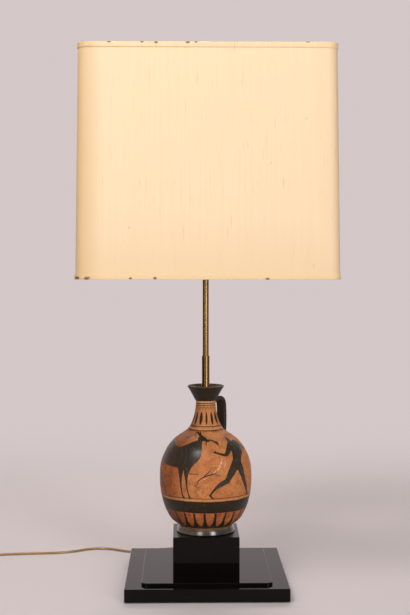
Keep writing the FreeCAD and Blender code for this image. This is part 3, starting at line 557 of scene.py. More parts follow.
def neck_leaves(r, z, degrees):
    """Upright black leaves round the neck, of different widths."""
    turn = (degrees + 10.6) / LEAF_STEP
    side = abs(turn.fraction() - 0.5)
    width = (turn.whole() * 0.37).fraction() * 0.15 + 0.2
    fall = (LEAF_TOP - z) / 16.5
    swell = (fall.at_least(0.0).at_most(1.0) * math.pi).sine()
    leaf = swell.at_least(0.0) ** 0.5 * width
    return r.step(leaf - side, -0.02, 0.03) * r.band(z, 209.6, LEAF_TOP, 0.3)


def neck_arcs(r, z, degrees):
    """A row of small arcs over the leaves."""
    wave = ((degrees / ARC_STEP).fraction() * math.pi).sine()
    return r.step(abs(z - (wave * 3.4 + 228.6)), 0.85, 0.35) * 0.75


def painted_rings(r, z, table):
    return [r.band(z, foot, top, soft) * strength for foot, top, soft, strength in table]


def clay_finish():
    """Painted clay: lines, tongues, band and rays are laid by height and by angle round the stem."""
    r = Recipe("painted_clay")
    p = settings().lamp_flask
    _, _, height = r.axes()
    angle = r.angle()
    wander = r.noise(34.0, 3.0, 0.55) * 2.0 - 1.0
    fray = r.noise(260.0, 3.0, 0.6) * 2.0 - 1.0
    z = height + (wander * 0.9 + fray * 0.55)
    degrees = angle + wander * 3.2
    clay, left_side_band, mottle, speck, crazed = bare_clay(r, angle)
    clay = r.mix(r.step(z, 203.0, 212.0) * 0.45, clay, p.pale_clay)

    in_rays = r.band(z, 76.5, BAND_FOOT, 0.25)
    tongue = red_tongues(r, z, degrees)
    red = r.mix(r.step(mottle, 0.36, 0.66), p.red_clay, p.clay)
    red = r.mix(r.step(r.noise(230.0, 4.0, 0.7), 0.52, 0.66) * 0.7, red, p.glaze)
    # Painted shade darkens the red tongues on the left side as well.
    red = r.mix(left_side_band, red, dimmed(p.red_clay, 0.55))
    paint = r.mix(in_rays * tongue, clay, red)
    dark = r.either(in_rays * (1.0 - tongue), neck_leaves(r, z, degrees), neck_arcs(r, z, degrees),
                    *painted_rings(r, z, DARK_RINGS))
    pale = r.either(*painted_rings(r, z, PALE_RINGS), r.band(height, 75.0, 77.1, 0.3))
    paint = r.mix(pale * r.step(mottle, 0.3, 0.6), paint, p.cream)

    tint, rough, _ = glaze_layer(r)
    worn = dark * r.blend(r.step(speck, 0.62, 0.74), 1.0, 0.45)
    relief = speck * 0.55 + dark * 0.5 - crazed * 0.3
    r.surface(Base_Color=r.mix(worn, paint, tint), Roughness=r.blend(dark, mottle * 0.25 + 0.46, rough),
              IOR=1.27, Normal=r.bump(relief, 0.00018, 0.7))
    return r.material


def silk_layer(r, tone):
    """Colour and relief of woven silk: fine threads, slubs along both ways and faint clouds, with painted
    shade towards the edges, the foot and the front left corner.
    """
    x, y, z = r.axes()
    on_side = abs(x).above(abs(y))
    across = r.blend(on_side, x, y)
    cloth = r.node("CombineXYZ", {0: across, 1: z, 2: on_side * 400.0}).outputs[0]
    upright = r.noise(0.42, 4.0, 0.6, r.stretched((1.0, 0.008, 1.0), vector=cloth))
    level = r.noise(0.5, 3.0, 0.6, r.stretched((0.02, 1.0, 1.0), vector=cloth))
    slub = r.step(r.noise(0.5, 2.0, 0.5, r.stretched((1.0, 0.045, 1.0), vector=cloth)), 0.64, 0.74)
    weave = r.wave(1.1, "X", 0.6, 1.0, cloth) * r.wave(1.1, "Y", 0.6, 1.0, cloth)
    threads = upright * 0.75 + level * 0.12 + weave * 0.02
    deep = dimmed(tone, 0.97, 0.94, 0.87)
    tint = r.mix(r.step(threads, 0.22, 0.66), deep, tone)
    tint = r.mix(slub * 0.7, tint, dimmed(tone, 0.76, 0.7, 0.62))
    tint = r.mix(r.step(r.noise(0.011, 3.0, 0.55, cloth), 0.45, 0.75) * 0.3, tint, deep)
    # Painted shade: the silk is darker towards each face's upright edges and towards the shade's foot.
    edge_and_foot_shade = r.either(r.step(abs(across), 112.0, 160.0) * 0.75, r.step(z, 500.0, 400.0))
    tint = r.mix(edge_and_foot_shade * 0.85, tint, dimmed(tone, 0.92, 0.88, 0.8))
    # Painted shade: the front left corner is darker.
    left_corner_shade = r.step(x, -122.0, -157.0) * r.step(y, -126.0, -157.0)
    tint = r.mix(left_corner_shade, tint, dimmed(tone, 0.78, 0.68, 0.53))
    speck = r.step(r.noise(0.09, 2.0, 0.5, cloth), 0.745, 0.765)
    tint = r.mix(speck * 0.35, tint, dimmed(tone, 0.55, 0.42, 0.28))
    return tint, weave * 0.5 + upright * 0.6


def silk_finish():
    r = Recipe("cream_silk")
    tint, relief = silk_layer(r, settings().lamp_shade.silk)
    r.surface(Base_Color=tint, Roughness=0.72, Sheen_Weight=0.12, Sheen_Roughness=0.4,
              Normal=r.bump(relief, 0.00012, 0.5))
    return r.material


def binding_finish():
    """The folded bindings, with brown places where they have rubbed."""
    r = Recipe("silk_binding")
    p = settings().lamp_shade
    tint, relief = silk_layer(r, p.binding)
    x, y, z = r.axes()
    patchy = r.noise(160.0, 3.0, 0.6)
    marks = [r.step(r.noise(28.0, 4.0, 0.7), 0.66, 0.72) * r.step(patchy, 0.45, 0.6)]
    for stain_x, stain_z, half_width, half_height in BINDING_STAINS:
        off_x, off_z = (x - stain_x) / half_width, (z - stain_z) / half_height
        far = (off_x * off_x + off_z * off_z).root() + (patchy * 1.6 - 0.8)
        marks.append(r.step(far, 1.2, 0.6) * y.below(0.0))
    r.surface(Base_Color=r.mix(r.either(*marks) * 0.85, tint, p.stain), Roughness=0.7, Sheen_Weight=0.12,
              Sheen_Roughness=0.4, Normal=r.bump(relief, 0.00015, 0.6))
    return r.material


def lining_finish():
    r = Recipe("shade_lining")
    p = settings().lamp_shade
    cloud = r.noise(12.0, 3.0, 0.5)
    grain = r.noise(600.0, 3.0, 0.6)
    r.surface(Base_Color=r.mix(cloud * 0.5, p.lining, dimmed(p.lining, 0.86)), Roughness=0.6,
              Normal=r.bump(grain, 0.00005, 0.3))
    return r.material


FINISHES = {
    "lacquer": lacquer_finish, "felt": felt_finish, "brass": brass_finish, "steel": steel_finish,
    "nickel": nickel_finish, "copper": copper_finish, "porcelain": porcelain_finish, "glass": glass_finish,
    "cork": cork_finish, "white_wire": white_wire_finish, "gold_flex": gold_flex_finish,
    "glaze": glaze_finish, "mouth_glaze": mouth_finish, "foot_glaze": foot_finish,
    "figure_glaze": figure_finish, "clay": clay_finish, "scratched_clay": scratch_finish,
    "rubbed_clay": rubbed_finish, "silk": silk_finish, "binding": binding_finish, "lining": lining_finish,
    "holder_plastic": bakelite_finish, "plug_plastic": plug_finish,
}
finished = {}


def finish(name):
    """A finish, made once and then shared."""
    if name not in finished:
        finished[name] = FINISHES[name]()
    return finished[name]


# Shapes


def placed(name, data):
    """A new object in the scene."""
    obj = bpy.data.objects.new(name, data)
    bpy.context.scene.collection.objects.link(obj)
    return obj


def mesh_from(name, bm):
    """Turn a bmesh into a mesh, and let the bmesh go."""
    mesh = bpy.data.meshes.new(name)
    bm.to_mesh(mesh)
    bm.free()
    return mesh


def piece(name, bm, body, material, nodes=(), smooth=True):
    """Turn a bmesh into a finished piece that rides on a body and may stand for CAD nodes."""
    if smooth:
        for face in bm.faces:
            face.smooth = True
        for edge in bm.edges:
            edge.smooth = len(edge.link_faces) == 2 and edge.calc_face_angle(0.0) < SMOOTH_EDGE_ANGLE
    mesh = mesh_from(name, bm)
    mesh.materials.append(finish(material))
    obj = placed(name, mesh)
    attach(obj, body)
    if nodes:
        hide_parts(*nodes)
    return obj


def coat(material, *nodes):
    """Give CAD nodes that stay their finish."""
    for node in nodes:
        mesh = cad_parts[node].data
        mesh.materials.clear()
        mesh.materials.append(finish(material))


def lathe(outline, steps):
    """Spin a closed outline of radii and heights round the stem."""
    bm = bmesh.new()
    verts = [bm.verts.new((r, 0, z)) for r, z in outline]
    edges = [bm.edges.new(pair) for pair in zip(verts, verts[1:] + verts[:1])]
    bmesh.ops.spin(bm, geom=verts + edges, cent=(0, 0, 0), axis=(0, 0, 1), dvec=(0, 0, 0),
                   angle=FULL_TURN, steps=steps, use_merge=True, use_duplicate=False)
    bmesh.ops.remove_doubles(bm, verts=bm.verts, dist=1e-7)
    bmesh.ops.recalc_face_normals(bm, faces=bm.faces)
    return bm


def curve_through(points, per_span=8):
    """A smooth outline through points."""
    result = []
    last = len(points) - 1
    for i in range(last):
        before, start, end, after = points[max(i - 1, 0)], points[i], points[i + 1], points[min(i + 2, last)]
        for k in range(per_span):
            t = k / per_span
            result.append(tuple(
                0.5 * (2 * b + (c - a) * t + (2 * a - 5 * b + 4 * c - d) * t * t
                       + (3 * b - a - 3 * c + d) * t * t * t)
                for a, b, c, d in zip(before, start, end, after)))
    result.append(tuple(points[-1]))
    return result


def neighbours(line, i):
    """The points before and after one of a line, or the point itself at its ends."""
    return line[max(i - 1, 0)], line[min(i + 1, len(line) - 1)]


def loft(rings, looped=False):
    """Join closed rings of points, one after the other, and close the ends or join the last to the first."""
    bm = bmesh.new()
    rows = [[bm.verts.new(p) for p in ring] for ring in rings]
    for first, second in zip(rows, rows[1:] + (rows[:1] if looped else [])):
        for i in range(len(first)):
            j = (i + 1) % len(first)
            bm.faces.new((first[i], first[j], second[j], second[i]))
    if not looped:
        bmesh.ops.holes_fill(bm, edges=[e for e in bm.edges if len(e.link_faces) == 1], sides=0)
    bmesh.ops.recalc_face_normals(bm, faces=bm.faces)
    return bm


BODY_SHARES = [
    (0.0, 0.562), (0.0425, 0.727), (0.092, 0.822), (0.165, 0.911), (0.261, 0.974),
    (0.382, 1.0), (0.503, 0.972), (0.599, 0.873), (0.672, 0.736), (0.719, 0.588),
    (0.767, 0.403), (0.817, 0.314), (0.891, 0.246), (0.963, 0.217), (1.0, 0.215),
]
HANDLE_SHARES = [
    (0.9645, 0.1488), (1.0005, 0.2825), (1.0045, 0.4463), (0.978, 0.5664), (0.92, 0.6033),
    (0.802, 0.6116), (0.684, 0.5868),
]
HANDLE_SECTION = [
    (0.0, 0.0014), (0.0028, 0.0016), (0.0049, 0.0031), (0.0063, 0.0029), (0.007, 0.0008),
    (0.0062, -0.0017), (0.0045, -0.0029), (0.0, -0.0024), (-0.0045, -0.0029), (-0.0062, -0.0017),
    (-0.007, 0.0008), (-0.0063, 0.0029), (-0.0049, 0.0031), (-0.0028, 0.0016), (0.0, 0.0014),
]
HANDLE_TURN = math.radians(54.0)
STEM_BORE = 0.0053
NECK_BORE = 0.008


def along_body(shares, inset=0.0):
    """Radii and heights from shares of the flask's belly radius and body height."""
    p = settings().lamp_flask
    return [(p.belly_radius * r - inset, p.body_foot + p.body_height * h) for h, r in shares]


def body_line(inset=0.0):
    """The flask's outline from its foot to its mouth, as radii and heights."""
    return curve_through(along_body(BODY_SHARES, inset))


class LAMP_OT_flask(bpy.types.Operator):
    """Build the thrown body, the funnel mouth, the disc foot and the strap handle"""
    bl_idname = "lamp.flask"
    bl_label = "Flask"

    def execute(self, context):
        p = settings().lamp_flask
        outer = body_line()
        self.body(p, outer)
        self.foot(p, outer[0][0])
        self.mouth(p, *outer[-1])
        self.handle()
        return {"FINISHED"}

    def body(self, p, outer):
        """A thin wall under the skin, which thickens at the floor and keeps clear of the stem."""
        inner = [(max(r, NECK_BORE), z) for r, z in body_line(p.wall) if z > p.body_foot + 0.015]
        floor = p.body_foot + 0.006
        low_wall = inner[0][0]
        outline = [(STEM_BORE, p.body_foot), *outer, *reversed(inner), (low_wall - 0.005, floor + 0.0025),
                   (low_wall - 0.01, floor), (STEM_BORE, floor)]
        piece("flask_body", lathe(outline, 128), "base", "clay", ["vessel_body"])

    def foot(self, p, waist):
        """A disc with a swelling side and a standing ring under it."""
        base, radius = low("vessel_foot").z, p.foot_radius
        side = curve_through([
            (radius - 0.0012, base), (radius - 0.0003, base + 0.0005), (radius, base + 0.0014),
            (radius - 0.0004, base + 0.0032), (radius - 0.001, base + 0.0052),
            (radius - 0.0017, base + 0.0068), (radius - 0.0026, base + 0.008),
            (radius - 0.0037, base + 0.0087), (waist, p.body_foot)], 4)
        outline = [(STEM_BORE, base + 0.002), (0.028, base + 0.002), (0.031, base), *side,
                   (STEM_BORE, p.body_foot)]
        piece("flask_foot", lathe(outline, 128), "base", "foot_glaze", ["vessel_foot"])

    def mouth(self, p, neck, base):
        """A funnel with a rounded lip, on the neck."""
        rim, wide = base + p.mouth_height, p.mouth_radius
        flare = curve_through([
            (neck, base), (neck + 0.0012, base + 0.0014), (neck + 0.0046, base + 0.0078),
            (neck + 0.0082, base + 0.0142), (wide - 0.0003, rim - 0.002), (wide, rim - 0.0009),
            (wide - 0.0012, rim), (wide - 0.0025, rim - 0.0009), (0.0145, base + 0.011),
            (0.0105, base + 0.004), (NECK_BORE, base)], 5)
        piece("flask_mouth", lathe(flare, 128), "base", "mouth_glaze", ["vessel_mouth"])

    def handle(self):
        """A strap with two raised rims and a hollow between them, on a tall arch."""
        line = curve_through(along_body(HANDLE_SHARES), 7)
        section = curve_through(HANDLE_SECTION, 3)[:-1]
        turn = Matrix.Rotation(HANDLE_TURN, 4, "Z")
        rings = []
        for i, (r, z) in enumerate(line):
            (r0, z0), (r1, z1) = neighbours(line, i)
            along = Vector((r1 - r0, 0, z1 - z0)).normalized()
            lift = Vector((-along.z, 0, along.x))
            rings.append([turn @ (Vector((r, 0, z)) + Vector((0, s, 0)) + lift * h) for s, h in section])
        piece("flask_handle", loft(rings), "base", "glaze", ["vessel_handle"])


# The painted figures. Places on the skin are degrees round the stem and heights in millimetres,
# and a stroke's points also hold half its width in millimetres.
SLIP_GRID = 2.5
SLIP_DEPTH = 0.0003
SLIP_STEP = 0.000012


class Skin:
    """The flask's outside, which the slip is laid on."""

    def __init__(self):
        self.line = body_line()

    def radius(self, height):
        """The outer radius, in metres, at a height in millimetres."""
        height *= MM
        for (r0, z0), (r1, z1) in zip(self.line, self.line[1:]):
            if z0 <= height <= z1:
                return r0 + (r1 - r0) * (height - z0) / (z1 - z0)
        return self.line[0][0] if height < self.line[0][1] else self.line[-1][0]

    def degree(self, height):
        """How many millimetres a degree covers at a height."""
        return math.radians(1) * (self.radius(height) / MM)

    def stroke(self, points):
        """The outline of a tapered brush stroke."""
        line = curve_through(points, 5)
        left, right = [], []
        for i, (turn, height, half) in enumerate(line):
            (t0, z0, _), (t1, z1, _) = neighbours(line, i)
            degree = self.degree(height)
            step = Vector(((t1 - t0) * degree, z1 - z0)).normalized()
            left.append((turn - step.y * half / degree, height + step.x * half))
            right.append((turn + step.y * half / degree, height - step.x * half))
        return left + self.cap(line[-1], left[-1]) + right[::-1] + self.cap(line[0], right[0])

    def cap(self, centre, start):
        """The round end of a stroke, from one of its sides to the other."""
        degree = self.degree(centre[1])
        arm = Vector(((start[0] - centre[0]) * degree, start[1] - centre[1]))
        cap = []
        for k in range(1, 6):
            angle = -math.pi * k / 6
            cap.append((centre[0] + (arm.x * math.cos(angle) - arm.y * math.sin(angle)) / degree,
                        centre[1] + arm.x * math.sin(angle) + arm.y * math.cos(angle)))
        return cap

    def layer(self, outline, proud):
        """A thin shell inside an outline, cut on a fine grid so that it follows the skin."""
        bm = bmesh.new()
        face = bm.faces.new([bm.verts.new((turn, height, 0)) for turn, height in outline])
        bmesh.ops.triangulate(bm, faces=[face])
        for axis, normal in enumerate((Vector((1, 0, 0)), Vector((0, 1, 0)))):
            places = [spot[axis] for spot in outline]
            cut = math.ceil(min(places) / SLIP_GRID) * SLIP_GRID
            while cut < max(places):
                geom = bm.verts[:] + bm.edges[:] + bm.faces[:]
                bmesh.ops.bisect_plane(bm, geom=geom, dist=1e-6, plane_co=normal * cut, plane_no=normal)
                cut += SLIP_GRID
        bmesh.ops.remove_doubles(bm, verts=bm.verts, dist=1e-4)
        grown = bmesh.ops.extrude_face_region(bm, geom=bm.faces[:], use_keep_orig=True)
        sunk = {v for v in grown["geom"] if isinstance(v, bmesh.types.BMVert)}
        for vert in bm.verts:
            turn, height, _ = vert.co
            radius = self.radius(height) + (-SLIP_DEPTH if vert in sunk else proud)
            angle = math.radians(turn)
            vert.co = (radius * math.sin(angle), -radius * math.cos(angle), height * MM)
        bmesh.ops.recalc_face_normals(bm, faces=bm.faces)
        return mesh_from("layer", bm)

    def painted(self, name, strokes, material="figure_glaze", proud=None):
        """Lay strokes on the skin as one piece of slip, each a little higher than the one it crosses."""
        proud = settings().lamp_flask.paint if proud is None else proud
        whole = bmesh.new()
        for number, points in enumerate(strokes):
            mesh = self.layer(self.stroke(points), proud + SLIP_STEP * (number % 6))
            whole.from_mesh(mesh)
            bpy.data.meshes.remove(mesh)
        return piece(name, whole, "base", material)


RUNNER = [
    [(56.6, 188.6, 1.8), (56.4, 185.6, 6.4), (54.8, 181.8, 9.4), (50.0, 177.0, 9.2), (46.6, 170.5, 7.6),
     (44.2, 165.0, 6.8), (42.6, 160.5, 6.0)],
    [(44.6, 191.6, 2.2), (46.4, 192.0, 2.9), (48.4, 191.6, 2.6)],
    [(46.8, 191.6, 1.7), (49.6, 188.9, 1.8), (53.0, 186.2, 2.8)],
    [(43.6, 190.6, 1.1), (41.8, 189.4, 0.6)],
    [(45.0, 187.0, 3.0), (38.5, 182.6, 3.4), (32.0, 177.0, 2.9), (27.4, 174.6, 1.9), (20.0, 176.0, 1.3),
     (14.5, 177.4, 1.0), (11.4, 178.2, 1.1)],
    [(14.5, 177.4, 0.8), (12.6, 180.0, 0.6)],
    [(60.0, 186.4, 4.2), (68.0, 184.2, 3.2), (73.5, 179.4, 2.2), (77.6, 179.0, 1.4)],
    [(42.0, 165.0, 5.4), (37.2, 158.6, 5.8), (31.6, 151.0, 4.9), (27.6, 144.6, 3.7), (25.6, 141.2, 2.8)],
    [(27.2, 142.8, 3.1), (21.5, 140.2, 3.2), (16.0, 137.4, 2.8), (10.5, 132.6, 1.7), (6.0, 127.0, 1.2),
     (4.6, 124.6, 1.3)],
    [(4.4, 125.2, 1.4), (6.0, 122.2, 1.2), (8.4, 119.8, 0.9)],
    [(46.0, 164.5, 5.4), (48.4, 155.5, 5.3), (51.0, 147.5, 3.9), (54.0, 140.0, 3.4), (58.5, 131.0, 2.7),
     (62.0, 124.0, 1.4), (64.4, 120.6, 1.2)],
    [(64.2, 121.0, 1.2), (61.4, 119.6, 0.9)],
]

RUNNER_CUTS = [
    [(46.2, 192.6, 0.22), (47.6, 192.9, 0.3), (48.6, 192.3, 0.22)],
    [(46.8, 195.0, 0.2), (50.2, 192.6, 0.28), (51.0, 189.6, 0.22)],
    [(44.6, 187.0, 0.2), (48.6, 183.6, 0.32), (48.2, 178.6, 0.2)],
    [(58.6, 187.8, 0.2), (56.0, 182.4, 0.32), (57.2, 176.8, 0.2)],
    [(50.6, 182.4, 0.2), (49.0, 174.0, 0.28), (45.4, 166.0, 0.2)],
    [(38.6, 167.6, 0.3), (43.6, 166.4, 0.42), (49.8, 167.4, 0.3)],
    [(39.4, 161.6, 0.2), (35.2, 154.4, 0.3), (30.4, 147.8, 0.2)],
    [(24.6, 142.6, 0.2), (26.4, 140.8, 0.28), (28.4, 141.6, 0.2)],
    [(20.8, 141.4, 0.2), (15.6, 137.6, 0.28), (11.4, 133.6, 0.2)],
    [(47.0, 160.0, 0.2), (50.0, 151.0, 0.3), (52.8, 143.4, 0.2)],
    [(36.6, 182.6, 0.2), (32.4, 178.2, 0.28), (30.6, 175.6, 0.2)],
]

BEAST = [
    [(-11.5, 188.0, 3.0), (-15.0, 181.5, 7.5), (-20.0, 174.8, 10.6), (-30.0, 171.6, 12.0),
     (-42.0, 171.0, 12.6), (-55.0, 171.4, 12.2), (-68.0, 173.5, 13.6), (-82.0, 175.0, 15.0),
     (-96.0, 172.0, 13.5), (-104.0, 167.0, 9.0)],
    [(-52.0, 177.4, 3.0), (-42.0, 179.6, 4.6), (-32.0, 181.6, 5.4), (-22.0, 184.2, 6.8), (-15.0, 188.6, 4.4),
     (-10.0, 192.6, 2.8)],
    [(-15.0, 194.2, 1.6), (-9.5, 194.8, 2.5), (-4.5, 193.6, 2.1), (0.6, 192.2, 1.5), (4.4, 191.2, 1.0)],
    [(-11.5, 196.0, 1.3), (-17.0, 198.4, 1.2), (-24.0, 200.4, 0.9), (-31.0, 200.4, 0.5)],
    [(-11.0, 196.4, 0.9), (-15.5, 200.0, 0.6), (-20.0, 202.6, 0.4)],
    [(0.5, 191.2, 0.8), (-0.6, 188.6, 0.5), (-0.2, 186.8, 0.3)],
    [(-21.0, 170.0, 7.0), (-24.4, 161.0, 5.4), (-25.6, 152.6, 3.4), (-25.4, 145.0, 1.7), (-24.4, 133.0, 0.9),
     (-22.6, 125.0, 0.8), (-20.8, 120.9, 1.3)],
    [(-34.0, 168.0, 6.6), (-33.8, 160.0, 5.0), (-33.4, 151.6, 3.2), (-33.2, 144.0, 1.6), (-32.4, 132.0, 0.9),
     (-31.2, 124.6, 0.8), (-29.4, 120.9, 1.3)],
    [(-90.0, 170.0, 8.0), (-93.0, 158.0, 6.0), (-96.5, 149.0, 3.4), (-93.5, 140.0, 2.0), (-91.5, 130.0, 1.5),
     (-92.5, 123.5, 1.4), (-90.5, 120.9, 1.8)],
    [(-100.0, 168.0, 7.5), (-104.5, 157.0, 5.4), (-109.0, 148.5, 3.2), (-106.5, 139.0, 1.9),
     (-105.0, 130.0, 1.5), (-106.0, 123.5, 1.4), (-104.0, 120.9, 1.8)],
    [(-102.0, 173.0, 3.2), (-109.0, 178.5, 1.8), (-114.0, 184.5, 1.6), (-113.0, 190.0, 1.2)],
]

BEAST_CUTS = [
    [(-8.6, 194.8, 0.2), (-7.2, 195.3, 0.32), (-5.8, 194.7, 0.2)],
    [(-14.6, 193.6, 0.2), (-10.6, 190.6, 0.32), (-8.8, 186.4, 0.2)],
    [(-17.4, 192.0, 0.2), (-13.4, 188.4, 0.32), (-11.0, 183.0, 0.2)],
    [(-23.0, 184.6, 0.22), (-17.0, 178.0, 0.36), (-14.6, 169.0, 0.34), (-17.4, 160.6, 0.2)],
    [(-33.0, 182.0, 0.22), (-29.4, 175.0, 0.36), (-29.0, 166.4, 0.34), (-31.6, 159.4, 0.2)],
    [(-40.0, 181.6, 0.2), (-36.6, 175.6, 0.3), (-36.4, 168.0, 0.2)],
    [(-27.2, 160.8, 0.2), (-24.6, 155.6, 0.28), (-24.8, 150.4, 0.2)],
    [(-80.0, 186.0, 0.22), (-76.4, 178.0, 0.36), (-78.0, 168.0, 0.34), (-84.0, 161.4, 0.2)],
]

BRANCHES = [
    [(3.5, 192.6, 0.6), (9.0, 192.2, 0.8), (15.0, 190.8, 0.8), (20.2, 186.4, 0.9)],
    [(14.0, 190.4, 0.7), (18.4, 189.6, 1.4), (21.6, 188.6, 0.5)],
    [(-10.2, 151.8, 0.5), (-20.8, 151.6, 0.5)],
    [(-11.8, 137.6, 0.4), (-10.4, 142.6, 0.6), (-5.6, 147.0, 0.6), (0.4, 149.8, 0.7), (7.0, 151.4, 0.6),
     (13.2, 153.6, 0.4)],
    [(-3.0, 149.6, 0.4), (1.6, 153.2, 0.5), (4.6, 156.8, 0.3)],
    [(9.6, 152.0, 0.3), (13.6, 150.0, 0.6), (17.4, 149.2, 0.3)],
    [(-34.0, 196.6, 0.4), (-40.0, 195.0, 0.7), (-48.0, 191.6, 0.5)],
]

SPRAY_STEM = [
    (150.0, 121.0, 1.0), (152.0, 135.0, 0.9), (149.0, 149.0, 0.8), (152.0, 163.0, 0.7), (150.0, 176.0, 0.5),
]

RUBBED_PLACES = [
    [(14.6, 157.0, 0.4), (17.0, 161.0, 1.3), (19.4, 165.6, 0.9), (21.6, 169.6, 0.4)],
    [(8.6, 153.4, 0.3), (12.0, 156.0, 0.8), (14.6, 158.4, 0.3)],
    [(23.4, 160.6, 0.2), (24.6, 163.6, 0.5), (25.4, 167.0, 0.2)],
    [(-5.6, 143.0, 0.2), (-3.0, 145.4, 0.5), (0.4, 146.6, 0.2)],
]


def mirrored(strokes, about, turn):
    """The same strokes mirrored about one angle and then turned."""
    return [[(2 * about - t + turn, *rest) for t, *rest in points] for points in strokes]


def leaf_spray(root, first, rows):
    """Pairs of leaves that stand out from an upright stem."""
    leaves = []
    for row in range(rows):
        height = first + 7.0 * row
        for side in (-1, 1):
            start = root + side * 0.8
            leaves.append([(start, height, 0.4), (start + side * 5.0, height + 3.2, 1.7),
                           (start + side * 10.0, height + 5.0, 0.3)])
    return leaves


class LAMP_OT_figures(bpy.types.Operator):
    """Paint a running youth, a horned beast and sprays of leaves in black slip"""
    bl_idname = "lamp.figures"
    bl_label = "Painted figures"

    def execute(self, context):
        skin = Skin()
        paint = settings().lamp_flask.paint
        skin.painted("painted_runner", RUNNER)
        skin.painted("painted_beast", BEAST)
        skin.painted("painted_second_runner", mirrored(RUNNER, about=48.0, turn=-152.0))
        cuts = RUNNER_CUTS + BEAST_CUTS + mirrored(RUNNER_CUTS, about=48.0, turn=-152.0)
        skin.painted("scratched_lines", cuts, "scratched_clay", paint + 0.00012)
        skin.painted("rubbed_places", RUBBED_PLACES, "rubbed_clay", 0.00003)
        leaves = leaf_spray(root=150.5, first=128.0, rows=7)
        skin.painted("painted_twigs", [*BRANCHES, SPRAY_STEM, *leaves])
        return {"FINISHED"}


def rounded_square(half, corner, height, per_corner=10):
    """Points round a square with round corners, level at one height."""
    points = []
    for quarter in range(4):
        start = math.pi / 2 * quarter
        centre = Vector((half - corner, half - corner, 0))
        centre.rotate(Matrix.Rotation(start, 3, "Z"))
        for k in range(per_corner + 1):
            angle = start + math.pi / 2 * k / per_corner
            points.append(centre + Vector((math.cos(angle) * corner, math.sin(angle) * corner, height)))
    return points


def shade_half(height):
    """Half the shade's outside width at a height. It narrows by 4 mm a side up to its top."""
    foot, top = low("shade_cloth").z, high("shade_cloth").z
    return high("shade_cloth").x - 0.004 * (height - foot) / (top - foot)


def shade_sleeve(outer, inner, foot, top, rows=1, edge=0.0):
    """A thin wall that follows the shade between two heights, with its level edges rounded if asked."""
    p = settings().lamp_shade
    heights = [foot + (top - foot) * i / rows for i in range(rows + 1)]
    rings = [rounded_square(shade_half(z) - outer, p.corner - outer, z) for z in heights]
    rings += [rounded_square(shade_half(z) - inner, p.corner - inner, z) for z in reversed(heights)]
    bm = loft(rings, looped=True)
    if edge:
        level = [e for e in bm.edges if abs(e.verts[0].co.z - e.verts[1].co.z) < edge / 10
                 and min(abs(e.verts[0].co.z - foot), abs(e.verts[0].co.z - top)) < edge / 10
                 and e.calc_face_angle(0.0) > 1.0]
        bmesh.ops.bevel(bm, geom=level, offset=edge, offset_type="OFFSET", affect="EDGES", segments=3,
                        profile=0.5, material=-1, clamp_overlap=True)
    return bm


CLOTH_THICKNESS = 0.0005
LINING_DEPTH = 0.0015


class LAMP_OT_shade(bpy.types.Operator):
    """Build the silk cover, its lining, the two bindings and the back seam, and finish the wires and the
    spider
    """
    bl_idname = "lamp.shade"
    bl_label = "Shade"

    def execute(self, context):
        p = settings().lamp_shade
        foot, top = low("shade_cloth").z, high("shade_cloth").z
        silk = piece("shade_silk_cover", shade_sleeve(0.0, CLOTH_THICKNESS, foot, top, 12), "shade",
                     "silk", ["shade_cloth"])
        piece("shade_stiff_lining", shade_sleeve(CLOTH_THICKNESS, LINING_DEPTH, foot, top), "shade",
              "lining", ["shade_liner"])
        trims = [
            self.trim("binding_foot", foot, foot + p.trim_width, "shade_trim_bottom"),
            self.trim("binding_top", top - p.trim_width, top, "shade_trim_top"),
            self.seam(foot + p.trim_width, top - p.trim_width),
        ]
        coat("white_wire", "shade_wire_bottom", "shade_wire_top", "shade_spider")
        return {"FINISHED"}

    def trim(self, name, foot, top, node):
        """A folded binding, which stands a little proud of the silk."""
        sleeve = shade_sleeve(-0.0009, 0.0, foot, top, edge=0.0004)
        return piece(name, sleeve, "shade", "binding", [node])

    def seam(self, foot, top):
        """The cover's overlap, up the middle of the back."""
        rings = []
        for z in (foot, top):
            back = shade_half(z)
            rings.append([Vector((x, back + lift, z)) for x, lift in (
                (-0.0045, 0.0004), (0.0045, 0.0004), (0.0045, -0.0002), (-0.0045, -0.0002))])
        return piece("cover_seam", loft(rings), "shade", "silk", smooth=False)


class LAMP_OT_stem(bpy.types.Operator):
    """Build the two brass tubes and finish the nuts, the washer and the lamp holder"""
    bl_idname = "lamp.stem"
    bl_label = "Stem and holder"

    def execute(self, context):
        foot, top = low("stem_sleeve").z, high("stem_sleeve").z
        outline = [(0.00405, foot), (0.005, foot), (0.005, top - 0.0012), (0.0047, top - 0.0004),
                   (0.0043, top), (0.00405, top)]
        piece("outer_tube", lathe(outline, 64), "base", "brass", ["stem_sleeve"])
        foot, top = low("stem_tube").z, high("stem_tube").z
        outline = [(0.0032, foot), (0.004, foot), (0.004, top), (0.0032, top)]
        piece("inner_tube", lathe(outline, 64), "stem", "brass", ["stem_tube"])
        coat("brass", "mouth_washer", "mouth_nut", "holder_nipple", "holder_cap")
        coat("cork", "neck_bush")
        coat("steel", "foot_nut", "foot_washer", "base_screws")
        coat("porcelain", "holder_insert")
        coat("holder_plastic", "holder_shell", "shade_ring_lower", "shade_ring_upper", "bulb_contact",
             "switch_bar")
        coat("nickel", "holder_thread", "bulb_cap")
        coat("copper", "holder_contact", "core_wires")
        coat("gold_flex", "lead_upper", "lead_lower")
        coat("glass", "bulb_glass")
        return {"FINISHED"}


class LAMP_OT_base(bpy.types.Operator):
    """Finish the felt, the two plates and the plinth block"""
    bl_idname = "lamp.base"
    bl_label = "Base"

    def execute(self, context):
        coat("felt", "base_felt")
        coat("lacquer", "base_plate", "raised_plate", "plinth_block")
        return {"FINISHED"}


